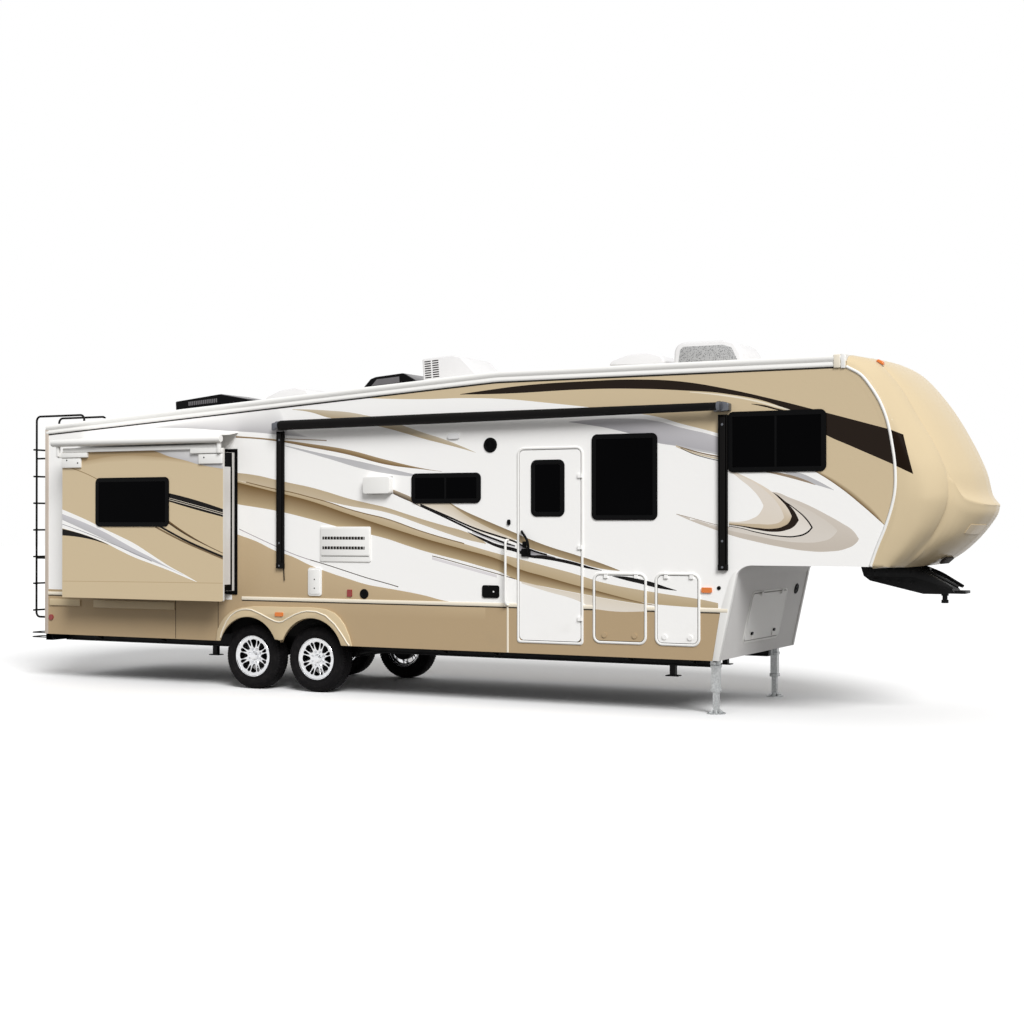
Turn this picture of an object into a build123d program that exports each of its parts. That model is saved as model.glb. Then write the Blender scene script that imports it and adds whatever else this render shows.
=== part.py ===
from build123d import *
import os
from math import atan2, cos, radians, sin, tan

os.makedirs("parts", exist_ok=True)

# Fifth wheel travel trailer, in millimetres. X runs forward, Y to the left, Z up from the ground.
# The entry door is on the right side, at minus Y.

# Body shell
half_width = 1220
wall = 50
rear_x = -5475
skirt_z = 560
belt_z = 1045
floor_top_z = 700
floor_thick = 80
roof_thick = 60
roof_crown = 35
rear_roof_z = 3158
front_roof_z = 3562
kink_x = 890
seam = 0.3

# Raised front: the bulkhead leans forward below the bedroom, and the cap closes the nose
bulkhead_foot_x = 3400
bulkhead_foot_z = 583
bulkhead_lean = 12.3
bulkhead_thick = 30
overhang_z = 1520
overhang_bend = 180
deck_thick = 80
storage_wall_x = 1990
storage_wall_thick = 40
cap_foot_x = 4954
cap_bulge_x, cap_bulge_z = 5186, 2584
roof_trim_height = 117
cap_top_x, cap_top_z = 4704, front_roof_z - roof_trim_height - 14
cap_thick = 25

# Running gear
axle_x = -1525
axle_spacing = 890
tyre_radius = 383.5
tyre_width = 225
tyre_face_y = 1080
rim_radius = 217
rim_lip_radius = 240
rim_width = 190
axle_radius = 38
spindle_radius = 30
spindle_gap = 0.4
drum_radius = 150
drum_width = 75
drum_y = 840

# Chassis
rail_y = 790
rail_width = 70
rail_bottom_z = 460
rail_front_x = 3250
crossmember_pitch = 1090
bumper_size = 100
bumper_half_length = 1080
bumper_z = 470
receiver_outer = 63.5
receiver_bore = 50.8
receiver_length = 330

# Doors and windows
window_flange = 12
window_rim = 30
window_sleeve = 20
window_corner = 60
glass_thick = 8
door_ring_width = 22
door_ring_proud = 14
door_gap = 10
door_proud = 8
door_thick = 42
door_corner = 80
pin_radius = 4
pin_gap = 0.3
knuckle_radius = 8
knuckle_length = 40

# Slide-outs
slide_rear_x, slide_front_x = -4882, -2473
slide_bottom_z, slide_top_z = 1040, 2800
slide_reach = 350
slide_travel = 290
fascia_thick = 40
fascia_lap_side = 92
fascia_lap_bottom = 112
fascia_lap_top = 40
slide_inset = 150
slide_wall = 40
slide_gap = 8
seal_width = 36
seal_proud = 12
topper_radius = 48
topper_out = 60
topper_z = 2924
topper_rail_z = 2996


def roof_z(x):
    """Height of the roof's edge above the ground, rising to the kink and then level."""
    if x > kink_x:
        return front_roof_z
    return rear_roof_z + (front_roof_z - rear_roof_z) * (x - rear_x) / (kink_x - rear_x)


def bulkhead_x(z):
    """Place of the bulkhead's outer face at a height."""
    return bulkhead_foot_x + (z - bulkhead_foot_z) * tan(radians(bulkhead_lean))


def across(y):
    """Plane that faces right at a distance from the middle, for outlines in X and Z."""
    return Plane.XZ.offset(-y)


def cap_joint(shift=0):
    """Line from the overhang up the joint between side wall and cap, moved forward by shift."""
    foot = (cap_foot_x + shift, overhang_z)
    top = (cap_top_x + shift, cap_top_z)
    ThreePointArc(foot, (cap_bulge_x + shift, cap_bulge_z), top)
    Line(top, (cap_top_x + shift, front_roof_z + 2 * roof_crown))


def ring(plane, width, height, corner, border, depth):
    """Rounded frame with a clear middle, standing on a plane."""
    with BuildPart() as made:
        with BuildSketch(plane):
            RectangleRounded(width, height, corner)
            RectangleRounded(width - 2 * border, height - 2 * border, max(corner - border, 5),
                             mode=Mode.SUBTRACT)
        extrude(amount=depth)
    return made.part


# Windows in both side walls: rear edge, front edge, bottom and top of the black frame
side_windows = (
    (-158, 707, 2154, 2483),
    (2018, 2750, 1970, 2858),
    (3506, 4510, 2442, 3045),
)
rear_window = (-450, 450, 1950, 2550)
slide_window = (-4351, -3244, 1898, 2478)

# Openings with a white ring: side, rear edge, front edge, bottom, top
entry_door = (-1, 1146, 1921, 671, 2741)
baggage_doors = (
    (-1, 2029, 2633, 695, 1430),
    (-1, 2722, 3213, 695, 1436),
    (1, 2722, 3213, 695, 1436),
)
compartment_half_width = 590
compartment_low, compartment_high = 110, 672


# Side walls, from the belt up to the roof, cut for the slide-outs, windows and doors
inner_y = half_width - wall
bulkhead_belt_x = bulkhead_x(belt_z)
bulkhead_top_x = bulkhead_x(overhang_z)
for side, name in ((-1, "right"), (1, "left")):
    outer_plane = across(side * half_width) if side > 0 else across(side * inner_y)
    with BuildPart() as side_wall:
        with BuildSketch(outer_plane) as outline:
            with BuildLine():
                Polyline((bulkhead_belt_x, belt_z), (rear_x, belt_z), (rear_x, roof_z(rear_x) - roof_thick),
                         (kink_x, front_roof_z - roof_thick), (cap_top_x, front_roof_z - roof_thick),
                         (cap_top_x, cap_top_z))
                ThreePointArc((cap_top_x, cap_top_z), (cap_bulge_x, cap_bulge_z), (cap_foot_x, overhang_z))
                FilletPolyline((cap_foot_x, overhang_z), (bulkhead_top_x, overhang_z),
                               (bulkhead_belt_x, belt_z), radius=overhang_bend)
            make_face()
            for x0, x1, z0, z1 in side_windows:
                with Locations(((x0 + x1) / 2, (z0 + z1) / 2)):
                    RectangleRounded(x1 - x0 - 2 * window_rim, z1 - z0 - 2 * window_rim,
                                     window_corner - window_rim, mode=Mode.SUBTRACT)
            slide_x0 = slide_rear_x + fascia_lap_side - slide_gap
            slide_x1 = slide_front_x - fascia_lap_side + slide_gap
            slide_z0 = slide_bottom_z + fascia_lap_bottom - slide_gap
            slide_z1 = slide_top_z - fascia_lap_top + slide_gap
            with Locations(((slide_x0 + slide_x1) / 2, (slide_z0 + slide_z1) / 2)):
                Rectangle(slide_x1 - slide_x0, slide_z1 - slide_z0, mode=Mode.SUBTRACT)
            for door_side, x0, x1, z0, z1 in (entry_door,) + baggage_doors:
                if door_side == side:
                    with Locations(((x0 + x1) / 2, (z0 + z1) / 2)):
                        RectangleRounded(x1 - x0 - 2 * door_ring_width, z1 - z0 - 2 * door_ring_width,
                                         door_corner - door_ring_width, mode=Mode.SUBTRACT)
        extrude(amount=wall)
    side_wall.part.label = f"sidewall_{name}"
    export_step(side_wall.part, f"parts/sidewall_{name}.step")

# Skirts below the belt, open at the wheel arches and the doors
arch_lead = 60
arch_radius = 490
arch_z = 366
arch_xs = (axle_x + arch_lead, axle_x - axle_spacing + arch_lead)
for side, name in ((-1, "right"), (1, "left")):
    outer_plane = across(side * half_width) if side > 0 else across(side * inner_y)
    with BuildPart() as skirt:
        with BuildSketch(outer_plane):
            with BuildLine():
                Polyline((rear_x, belt_z), (bulkhead_belt_x, belt_z), (bulkhead_x(skirt_z), skirt_z),
                         (rear_x, skirt_z), close=True)
            make_face()
            with Locations([(x, arch_z) for x in arch_xs]):
                Circle(arch_radius, mode=Mode.SUBTRACT)
            for door_side, x0, x1, z0, z1 in (entry_door,) + baggage_doors:
                if door_side == side:
                    with Locations(((x0 + x1) / 2, (z0 + z1) / 2)):
                        RectangleRounded(x1 - x0 - 2 * door_ring_width, z1 - z0 - 2 * door_ring_width,
                                         door_corner - door_ring_width, mode=Mode.SUBTRACT)
        extrude(amount=wall)
    skirt.part.label = f"skirt_{name}"
    export_step(skirt.part, f"parts/skirt_{name}.step")

# Fenders: a flat flare round both arches, with a level ridge between their tops and a rolled bead
# that dips between the wheels
fender_band = 105
fender_proud = 25
fender_bead = 13
# Bead on the fender: distance from the middle of the two arches, height
bead_line = ((-812, 590), (-712, 760), (-562, 875), (-400, 928), (-240, 918), (-105, 858), (0, 822),
             (105, 858), (240, 918), (400, 928), (562, 875), (712, 760), (812, 590))
for side, name in ((-1, "right"), (1, "left")):
    fender_plane = across(side * half_width) if side < 0 else across(half_width + fender_proud)
    with BuildPart() as fender:
        with BuildSketch(fender_plane):
            with Locations([(x, arch_z) for x in arch_xs]):
                Circle(arch_radius + fender_band)
            with Locations(((arch_xs[0] + arch_xs[1]) / 2, arch_z)):
                Rectangle(axle_spacing, arch_radius + fender_band, align=(Align.CENTER, Align.MIN))
            with Locations([(x, arch_z) for x in arch_xs]):
                Circle(arch_radius, mode=Mode.SUBTRACT)
            with Locations((axle_x, skirt_z)):
                Rectangle(4 * axle_spacing, 4 * arch_radius, align=(Align.CENTER, Align.MAX), mode=Mode.SUBTRACT)
        extrude(amount=fender_proud)
        bead_plane = across(side * (half_width + fender_proud))
        with BuildLine(bead_plane) as bead:
            Spline([((arch_xs[0] + arch_xs[1]) / 2 + x, z) for x, z in bead_line])
        with BuildSketch(Plane(origin=bead.line @ 0, z_dir=bead.line % 0)):
            Circle(fender_bead)
        sweep(path=bead.line)
    fender.part.label = f"fender_{name}"
    export_step(fender.part, f"parts/fender_{name}.step")

# Rear wall with its window, between the side walls
with BuildPart() as rear_wall:
    with BuildSketch(Plane.YZ.offset(rear_x)):
        rear_foot_z = floor_top_z - floor_thick
        with Locations((0, (rear_foot_z + roof_z(rear_x) - roof_thick) / 2)):
            Rectangle(2 * inner_y, roof_z(rear_x) - roof_thick - rear_foot_z)
        y0, y1, z0, z1 = rear_window
        with Locations(((y0 + y1) / 2, (z0 + z1) / 2)):
            RectangleRounded(y1 - y0 - 2 * window_rim, z1 - z0 - 2 * window_rim,
                             window_corner - window_rim, mode=Mode.SUBTRACT)
    extrude(amount=wall)
rear_wall.part.label = "rear_wall"
export_step(rear_wall.part, "parts/rear_wall.step")

# Roof, flat below and crowned above, rising from the rear to the kink
with BuildPart() as roof_panel:
    for x in (rear_x, kink_x, cap_top_x):
        z = roof_z(x)
        with BuildSketch(Plane.YZ.offset(x)):
            with BuildLine():
                ThreePointArc((-half_width, z), (0, z + roof_crown), (half_width, z))
                Polyline((half_width, z), (half_width, z - roof_thick), (-half_width, z - roof_thick),
                         (-half_width, z))
            make_face()
    loft(ruled=True)
roof_panel.part.label = "roof_panel"
export_step(roof_panel.part, "parts/roof_panel.step")

# Floor with boxes over the wheels
well_margin = 90
well_inner_y = 845
well_top_z = 985
well_sheet = 25
well_x0 = axle_x - axle_spacing - tyre_radius - well_margin
well_x1 = axle_x + tyre_radius + well_margin
floor_front_x = bulkhead_x(floor_top_z - floor_thick) - bulkhead_thick - 30
with BuildPart() as floor_deck:
    with BuildSketch(Plane.XY.offset(floor_top_z - floor_thick)):
        with Locations(((rear_x + wall + floor_front_x) / 2, 0)):
            Rectangle(floor_front_x - rear_x - wall, 2 * inner_y)
        for side in (-1, 1):
            with Locations(((well_x0 + well_x1) / 2, side * (well_inner_y + inner_y) / 2)):
                Rectangle(well_x1 - well_x0, inner_y - well_inner_y, mode=Mode.SUBTRACT)
    extrude(amount=floor_thick)
    for side in (-1, 1):
        with BuildSketch(Plane.XY.offset(floor_top_z)):
            with Locations(((well_x0 + well_x1) / 2, side * (well_inner_y - well_sheet + inner_y) / 2)):
                Rectangle(well_x1 - well_x0 + 2 * well_sheet, inner_y - well_inner_y + well_sheet)
        extrude(amount=well_top_z + well_sheet - floor_top_z)
        with BuildSketch(Plane.XY.offset(floor_top_z)):
            with Locations(((well_x0 + well_x1) / 2, side * (well_inner_y + inner_y) / 2)):
                Rectangle(well_x1 - well_x0, inner_y - well_inner_y)
        extrude(amount=well_top_z - floor_top_z, mode=Mode.SUBTRACT)
floor_deck.part.label = "floor_deck"
export_step(floor_deck.part, "parts/floor_deck.step")

# Front bulkhead and the underside of the overhang, one bent skin with the compartment's opening
sheet_back = bulkhead_thick / cos(radians(bulkhead_lean))
front_face = Plane(origin=(bulkhead_foot_x, 0, bulkhead_foot_z), x_dir=(0, 1, 0),
                   z_dir=(cos(radians(bulkhead_lean)), 0, -sin(radians(bulkhead_lean))))
compartment_mid = (compartment_low + compartment_high) / 2
compartment_height = compartment_high - compartment_low
with BuildPart() as front_bulkhead:
    with BuildSketch(across(inner_y)):
        with BuildLine():
            FilletPolyline((bulkhead_x(skirt_z), skirt_z), (bulkhead_top_x, overhang_z),
                           (cap_foot_x, overhang_z), radius=overhang_bend)
            Line((cap_foot_x, overhang_z), (cap_foot_x, overhang_z + bulkhead_thick))
            inner_bend_x = bulkhead_x(overhang_z + bulkhead_thick) - sheet_back
            FilletPolyline((cap_foot_x, overhang_z + bulkhead_thick), (inner_bend_x, overhang_z + bulkhead_thick),
                           (bulkhead_x(skirt_z) - sheet_back, skirt_z), radius=overhang_bend - bulkhead_thick)
            Line((bulkhead_x(skirt_z) - sheet_back, skirt_z), (bulkhead_x(skirt_z), skirt_z))
        make_face()
    extrude(amount=2 * inner_y)
    with BuildSketch(front_face):
        with Locations((0, compartment_mid)):
            RectangleRounded(2 * compartment_half_width - 2 * door_ring_width,
                             compartment_height - 2 * door_ring_width, door_corner - door_ring_width)
    extrude(amount=-3 * bulkhead_thick, both=True, mode=Mode.SUBTRACT)
front_bulkhead.part.label = "front_bulkhead"
export_step(front_bulkhead.part, "parts/front_bulkhead.step")

# Bedroom floor on the overhang, with the back wall of the pass-through storage
deck_bottom_z = overhang_z + bulkhead_thick
with BuildPart() as bedroom_deck:
    with BuildSketch(across(inner_y)):
        with BuildLine():
            Polyline((storage_wall_x, floor_top_z), (storage_wall_x, deck_bottom_z + deck_thick),
                     (cap_foot_x, deck_bottom_z + deck_thick), (cap_foot_x, deck_bottom_z),
                     (storage_wall_x + storage_wall_thick, deck_bottom_z),
                     (storage_wall_x + storage_wall_thick, floor_top_z), close=True)
        make_face()
    extrude(amount=2 * inner_y)
bedroom_deck.part.label = "bedroom_deck"
export_step(bedroom_deck.part, "parts/bedroom_deck.step")

# Front cap, a moulded shell. Each station is one slice along the trailer, given by its share of
# the half width, then X and Z of the roof end, brow, lip, chin and foot.
cap_back_x = 4560
cap_stations = (
    (0, 4735, 3597, 5345, 3128, 5888, 2150, 5690, 1775, 5171, 1503),
    (0.492, 4735, 3588, 5300, 3112, 5760, 2165, 5600, 1800, 5168, 1506),
    (0.738, 4740, 3575, 5225, 3060, 5575, 2240, 5470, 1890, 5160, 1512),
    (0.943, 4735, 3545, 5140, 3000, 5420, 2270, 5320, 1860, 5110, 1518),
    (1, 4712, 3500, 5085, 3050, 5240, 2400, 5180, 1980, 5010, 1524),
)


def cap_slice(y, station, inset):
    """One closed slice of the cap, moved inward by an inset."""
    top_x, top_z, brow_x, brow_z, lip_x, lip_z, chin_x, chin_z, foot_x, foot_z = station[1:]
    slope = inset * 0.7
    top, brow = (top_x - slope, top_z - inset), (brow_x - slope, brow_z - slope)
    lip, chin = (lip_x - inset, lip_z), (chin_x - slope, chin_z + slope)
    foot = (foot_x - slope, foot_z + inset)
    with BuildSketch(across(y)) as made:
        with BuildLine():
            ThreePointArc(top, brow, lip)
            ThreePointArc(lip, chin, foot)
            Polyline(foot, (cap_back_x, foot[1]), (cap_back_x, top[1]), top)
        make_face()
    return made.sketch


def cap_form(inset):
    """The cap as a solid, moved inward by an inset."""
    reach = half_width - inset
    slices = [cap_slice(-s[0] * reach, s, inset) for s in reversed(cap_stations)]
    slices += [cap_slice(s[0] * reach, s, inset) for s in cap_stations[1:]]
    with BuildPart() as made:
        loft(slices)
    return made.part


with BuildPart() as front_cap:
    add(cap_form(0))
    add(cap_form(cap_thick), mode=Mode.SUBTRACT)
    with BuildSketch(across(2 * half_width)):
        with BuildLine():
            cap_joint(seam)
            above_z, below_z = front_roof_z + 2 * roof_crown, overhang_z - 2 * wall
            Polyline((cap_top_x + seam, above_z), (cap_back_x - wall, above_z), (cap_back_x - wall, below_z),
                     (cap_foot_x + seam, below_z), (cap_foot_x + seam, overhang_z))
        make_face()
    extrude(amount=4 * half_width, mode=Mode.SUBTRACT)
front_cap.part.label = "front_cap"
export_step(front_cap.part, "parts/front_cap.step")

# White mouldings: along the roof's edge, over the cap joint, up the rear corners and at the belt
trim_proud = 12
cap_trim_width = 52
corner_trim_width = 40
belt_trim_height = 14
belt_trim_proud = 6
# Stretches of belt moulding: side, rear end, front end
belt_stretches = (
    (-1, rear_x + corner_trim_width, entry_door[1]),
    (-1, entry_door[2], baggage_doors[0][1]),
    (-1, baggage_doors[0][2], baggage_doors[1][1]),
    (-1, baggage_doors[1][2], bulkhead_belt_x),
    (1, rear_x + corner_trim_width, baggage_doors[2][1]),
    (1, baggage_doors[2][2], bulkhead_belt_x),
)
with BuildPart() as body_mouldings:
    for side in (-1, 1):
        trim_plane = across(side * half_width) if side < 0 else across(half_width + trim_proud)
        with BuildSketch(trim_plane):
            with BuildLine():
                Polyline((rear_x, roof_z(rear_x)), (kink_x, front_roof_z), (cap_top_x, front_roof_z),
                         (cap_top_x, front_roof_z - roof_trim_height), (kink_x, front_roof_z - roof_trim_height),
                         (rear_x, rear_roof_z - roof_trim_height), close=True)
            make_face()
            with BuildLine():
                Polyline((rear_x, skirt_z), (rear_x + corner_trim_width, skirt_z),
                         (rear_x + corner_trim_width, roof_z(rear_x) - roof_trim_height / 2),
                         (rear_x, roof_z(rear_x) - roof_trim_height / 2), close=True)
            make_face()
            half = cap_trim_width / 2
            with BuildLine():
                ThreePointArc((cap_foot_x - half, overhang_z), (cap_bulge_x - half, cap_bulge_z),
                              (cap_top_x - half, cap_top_z))
                Polyline((cap_top_x - half, cap_top_z), (cap_top_x - half, front_roof_z - roof_thick),
                         (cap_top_x + half / 2, front_roof_z - roof_thick), (cap_top_x + half, cap_top_z))
                ThreePointArc((cap_top_x + half, cap_top_z), (cap_bulge_x + half, cap_bulge_z),
                              (cap_foot_x + half, overhang_z))
                Line((cap_foot_x + half, overhang_z), (cap_foot_x - half, overhang_z))
            make_face()
        extrude(amount=trim_proud)
    for side, x0, x1 in belt_stretches:
        belt_plane = across(side * half_width) if side < 0 else across(half_width + belt_trim_proud)
        with BuildSketch(belt_plane):
            with Locations(((x0 + x1) / 2, belt_z)):
                Rectangle(x1 - x0, belt_trim_height)
        extrude(amount=belt_trim_proud)
body_mouldings.part.label = "body_mouldings"
export_step(body_mouldings.part, "parts/body_mouldings.step")

# Window frames with a flange outside and a sleeve in the wall, and their dark glass
# Fixed windows as plane of the outer face, width, height
fixed_windows = []
for x0, x1, z0, z1 in side_windows:
    for side in (-1, 1):
        place = Plane(origin=((x0 + x1) / 2, side * half_width, (z0 + z1) / 2), x_dir=(-side, 0, 0),
                      z_dir=(0, side, 0))
        fixed_windows.append((place, x1 - x0, z1 - z0))
y0, y1, z0, z1 = rear_window
rear_plane = Plane(origin=(rear_x, (y0 + y1) / 2, (z0 + z1) / 2), x_dir=(0, -1, 0), z_dir=(-1, 0, 0))
fixed_windows.append((rear_plane, y1 - y0, z1 - z0))

hole = 2 * (window_rim + seam)
with BuildPart() as window_frames:
    for place, width, height in fixed_windows:
        add(ring(place, width, height, window_corner, window_rim + window_sleeve, window_flange))
        add(ring(place, width - hole, height - hole, window_corner - window_rim, window_sleeve, -wall))
window_frames.part.label = "window_frames"
export_step(window_frames.part, "parts/window_frames.step")

clear = 2 * (window_rim + window_sleeve + seam)
with BuildPart() as window_glass:
    for place, width, height in fixed_windows:
        with BuildSketch(place):
            RectangleRounded(width - clear, height - clear, window_corner - window_rim)
        extrude(amount=glass_thick)
window_glass.part.label = "window_glass"
export_step(window_glass.part, "parts/window_glass.step")


# Doors hung on pins. Each has a plane on the wall's outer face with its Z out of the wall, the outer
# width and height of its frame, and a hinge plane at the frame's edge: X along the pin, Y away from the leaf.
pin_out = door_ring_proud + knuckle_radius + 1


def knuckle_plane(edge, offset):
    """Plane square to the pin at an offset along it: X away from the leaf, Y out of the wall."""
    return Plane(origin=edge.origin + edge.x_dir * offset, x_dir=edge.y_dir, z_dir=edge.x_dir)


def fixed_knuckle(edge, offset):
    """The frame's half of a hinge, with the pin."""
    with BuildPart() as made:
        with BuildSketch(knuckle_plane(edge, offset - pin_gap)):
            with Locations((0, pin_out)):
                Circle(knuckle_radius)
            with Locations((0, door_ring_proud)):
                Rectangle(2 * knuckle_radius, pin_out - door_ring_proud, align=(Align.CENTER, Align.MIN))
        extrude(amount=-knuckle_length)
        with BuildSketch(knuckle_plane(edge, offset - pin_gap)):
            with Locations((0, pin_out)):
                Circle(pin_radius)
        extrude(amount=knuckle_length)
    return made.part


def leaf_knuckle(edge, offset):
    """The leaf's half of a hinge: a bored knuckle with a strap and a pad on the leaf's face."""
    leaf_edge = door_ring_width / 2 + door_gap
    with BuildPart() as made:
        with BuildSketch(knuckle_plane(edge, offset)):
            with Locations((0, pin_out)):
                Circle(knuckle_radius)
            with Locations((0, pin_out)):
                Rectangle(leaf_edge + strap_length, strap_thick, align=(Align.MAX, Align.CENTER))
            with Locations((-leaf_edge, door_proud)):
                Rectangle(strap_length, pin_out - door_proud, align=(Align.MAX, Align.MIN))
            with Locations((0, pin_out)):
                Circle(pin_radius + pin_gap, mode=Mode.SUBTRACT)
        extrude(amount=knuckle_length)
    return made.part


strap_length = 26
strap_thick = 6

# The entry door swings forward about its front edge, the others swing up about their top edges
x0, x1, z0, z1 = entry_door[1:]
entry_plane = Plane(origin=((x0 + x1) / 2, -half_width, (z0 + z1) / 2), x_dir=(1, 0, 0), z_dir=(0, -1, 0))
entry_width, entry_height = x1 - x0, z1 - z0
entry_edge = Plane(origin=(x1 - door_ring_width / 2, -half_width, (z0 + z1) / 2), x_dir=(0, 0, -1),
                   z_dir=(0, -1, 0))

# Top-hung doors: name, plane, width, height, hinge plane
top_hung = []
for number, (side, x0, x1, z0, z1) in enumerate(baggage_doors):
    name = ("baggage_door_rear", "baggage_door_front", "baggage_door_left")[number]
    middle_x, middle_z = (x0 + x1) / 2, (z0 + z1) / 2
    place = Plane(origin=(middle_x, side * half_width, middle_z), x_dir=(-side, 0, 0), z_dir=(0, side, 0))
    edge = Plane(origin=(middle_x, side * half_width, z1 - door_ring_width / 2), x_dir=(-side, 0, 0),
                 z_dir=(0, side, 0))
    top_hung.append((name, place, x1 - x0, z1 - z0, edge))
compartment_plane = Plane(origin=front_face.origin + front_face.y_dir * compartment_mid,
                          x_dir=front_face.x_dir, z_dir=front_face.z_dir)
compartment_edge = Plane(origin=front_face.origin + front_face.y_dir * (compartment_high - door_ring_width / 2),
                         x_dir=front_face.x_dir, z_dir=front_face.z_dir)
top_hung.append(("compartment_door", compartment_plane, 2 * compartment_half_width, compartment_height,
                 compartment_edge))

with BuildPart() as opening_frames:
    add(ring(entry_plane, entry_width, entry_height, door_corner, door_ring_width, door_ring_proud))
    for offset in (-entry_height * 0.36, 0, entry_height * 0.36):
        add(fixed_knuckle(entry_edge, offset))
    for name, place, width, height, edge in top_hung:
        add(ring(place, width, height, door_corner, door_ring_width, door_ring_proud))
        for offset in (-width * 0.28, width * 0.28):
            add(fixed_knuckle(edge, offset))
opening_frames.part.label = "opening_frames"
export_step(opening_frames.part, "parts/opening_frames.step")

# Entry door leaf with its window cut, latch side to the rear
door_lost = 2 * (door_ring_width + door_gap)
leaf_corner = door_corner - door_ring_width - door_gap
door_window = (1315, 1707, 2007, 2606)
x0, x1, z0, z1 = door_window
door_window_plane = Plane(origin=((x0 + x1) / 2, -half_width - door_proud, (z0 + z1) / 2),
                          x_dir=(1, 0, 0), z_dir=(0, -1, 0))
door_window_width, door_window_height = x1 - x0, z1 - z0
with BuildPart() as entry_leaf:
    with BuildSketch(entry_plane.offset(door_proud)):
        RectangleRounded(entry_width - door_lost, entry_height - door_lost, leaf_corner)
    extrude(amount=-door_thick)
    with BuildSketch(door_window_plane):
        RectangleRounded(door_window_width - 2 * window_rim, door_window_height - 2 * window_rim,
                         window_corner - window_rim)
    extrude(amount=-door_thick, mode=Mode.SUBTRACT)
    for offset in (-entry_height * 0.36, 0, entry_height * 0.36):
        add(leaf_knuckle(entry_edge, offset))
entry_leaf.part.label = "entry_door"
export_step(entry_leaf.part, "parts/entry_door.step")

# Door window frame, pull handle and lock plate
latch_x = entry_door[1] + 85
handle_z, handle_reach, handle_drop, handle_rod = 1730, 55, 240, 11
handle_plate = 8
with BuildPart() as door_fittings:
    add(ring(door_window_plane, door_window_width, door_window_height, window_corner,
             window_rim + window_sleeve, window_flange))
    with BuildSketch(entry_plane.offset(door_proud)):
        with Locations((latch_x - entry_plane.origin.X, handle_z - entry_plane.origin.Z)):
            RectangleRounded(60, handle_drop + 90, 20)
    extrude(amount=handle_plate)
    with BuildLine(Plane.YZ.offset(latch_x)) as bow:
        out_y = -half_width - door_proud - handle_plate
        FilletPolyline((out_y, handle_z + handle_drop / 2), (out_y - handle_reach, handle_z + handle_drop / 2),
                       (out_y - handle_reach, handle_z - handle_drop / 2), (out_y, handle_z - handle_drop / 2),
                       radius=handle_reach * 0.7)
    with BuildSketch(Plane(origin=bow.line @ 0, z_dir=bow.line % 0)):
        Circle(handle_rod)
    sweep(path=bow.line)
door_fittings.part.label = "door_fittings"
export_step(door_fittings.part, "parts/door_fittings.step")

with BuildPart() as door_glass:
    with BuildSketch(door_window_plane):
        RectangleRounded(door_window_width - clear, door_window_height - clear, window_corner - window_rim)
    extrude(amount=glass_thick)
door_glass.part.label = "door_glass"
export_step(door_glass.part, "parts/door_glass.step")

# Top-hung doors, each with two turn latches near its foot
latch_radius = 26
latch_thick = 10
for name, place, width, height, edge in top_hung:
    with BuildPart() as leaf:
        with BuildSketch(place.offset(door_proud)):
            RectangleRounded(width - door_lost, height - door_lost, leaf_corner)
        extrude(amount=-door_thick)
        for offset in (-width * 0.28, width * 0.28):
            add(leaf_knuckle(edge, offset))
        with BuildSketch(place.offset(door_proud)):
            with Locations((-width * 0.28, -height * 0.38), (width * 0.28, -height * 0.38)):
                Circle(latch_radius)
        extrude(amount=latch_thick)
    leaf.part.label = name
    export_step(leaf.part, f"parts/{name}.step")

bracket_drop = 185
plate_thick = 14
# Plates and bars of the topper's brackets on the fascia: rear end, front end, bottom, top, how far proud
topper_plates = (
    (slide_rear_x + 4, -4600, 2612, 2722, plate_thick),
    (slide_rear_x + 4, -4492, 2738, 2780, 44),
    (-2822, slide_front_x - 4, 2622, 2735, plate_thick),
    (-2940, slide_front_x - 4, 2752, 2794, 44),
)
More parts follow.
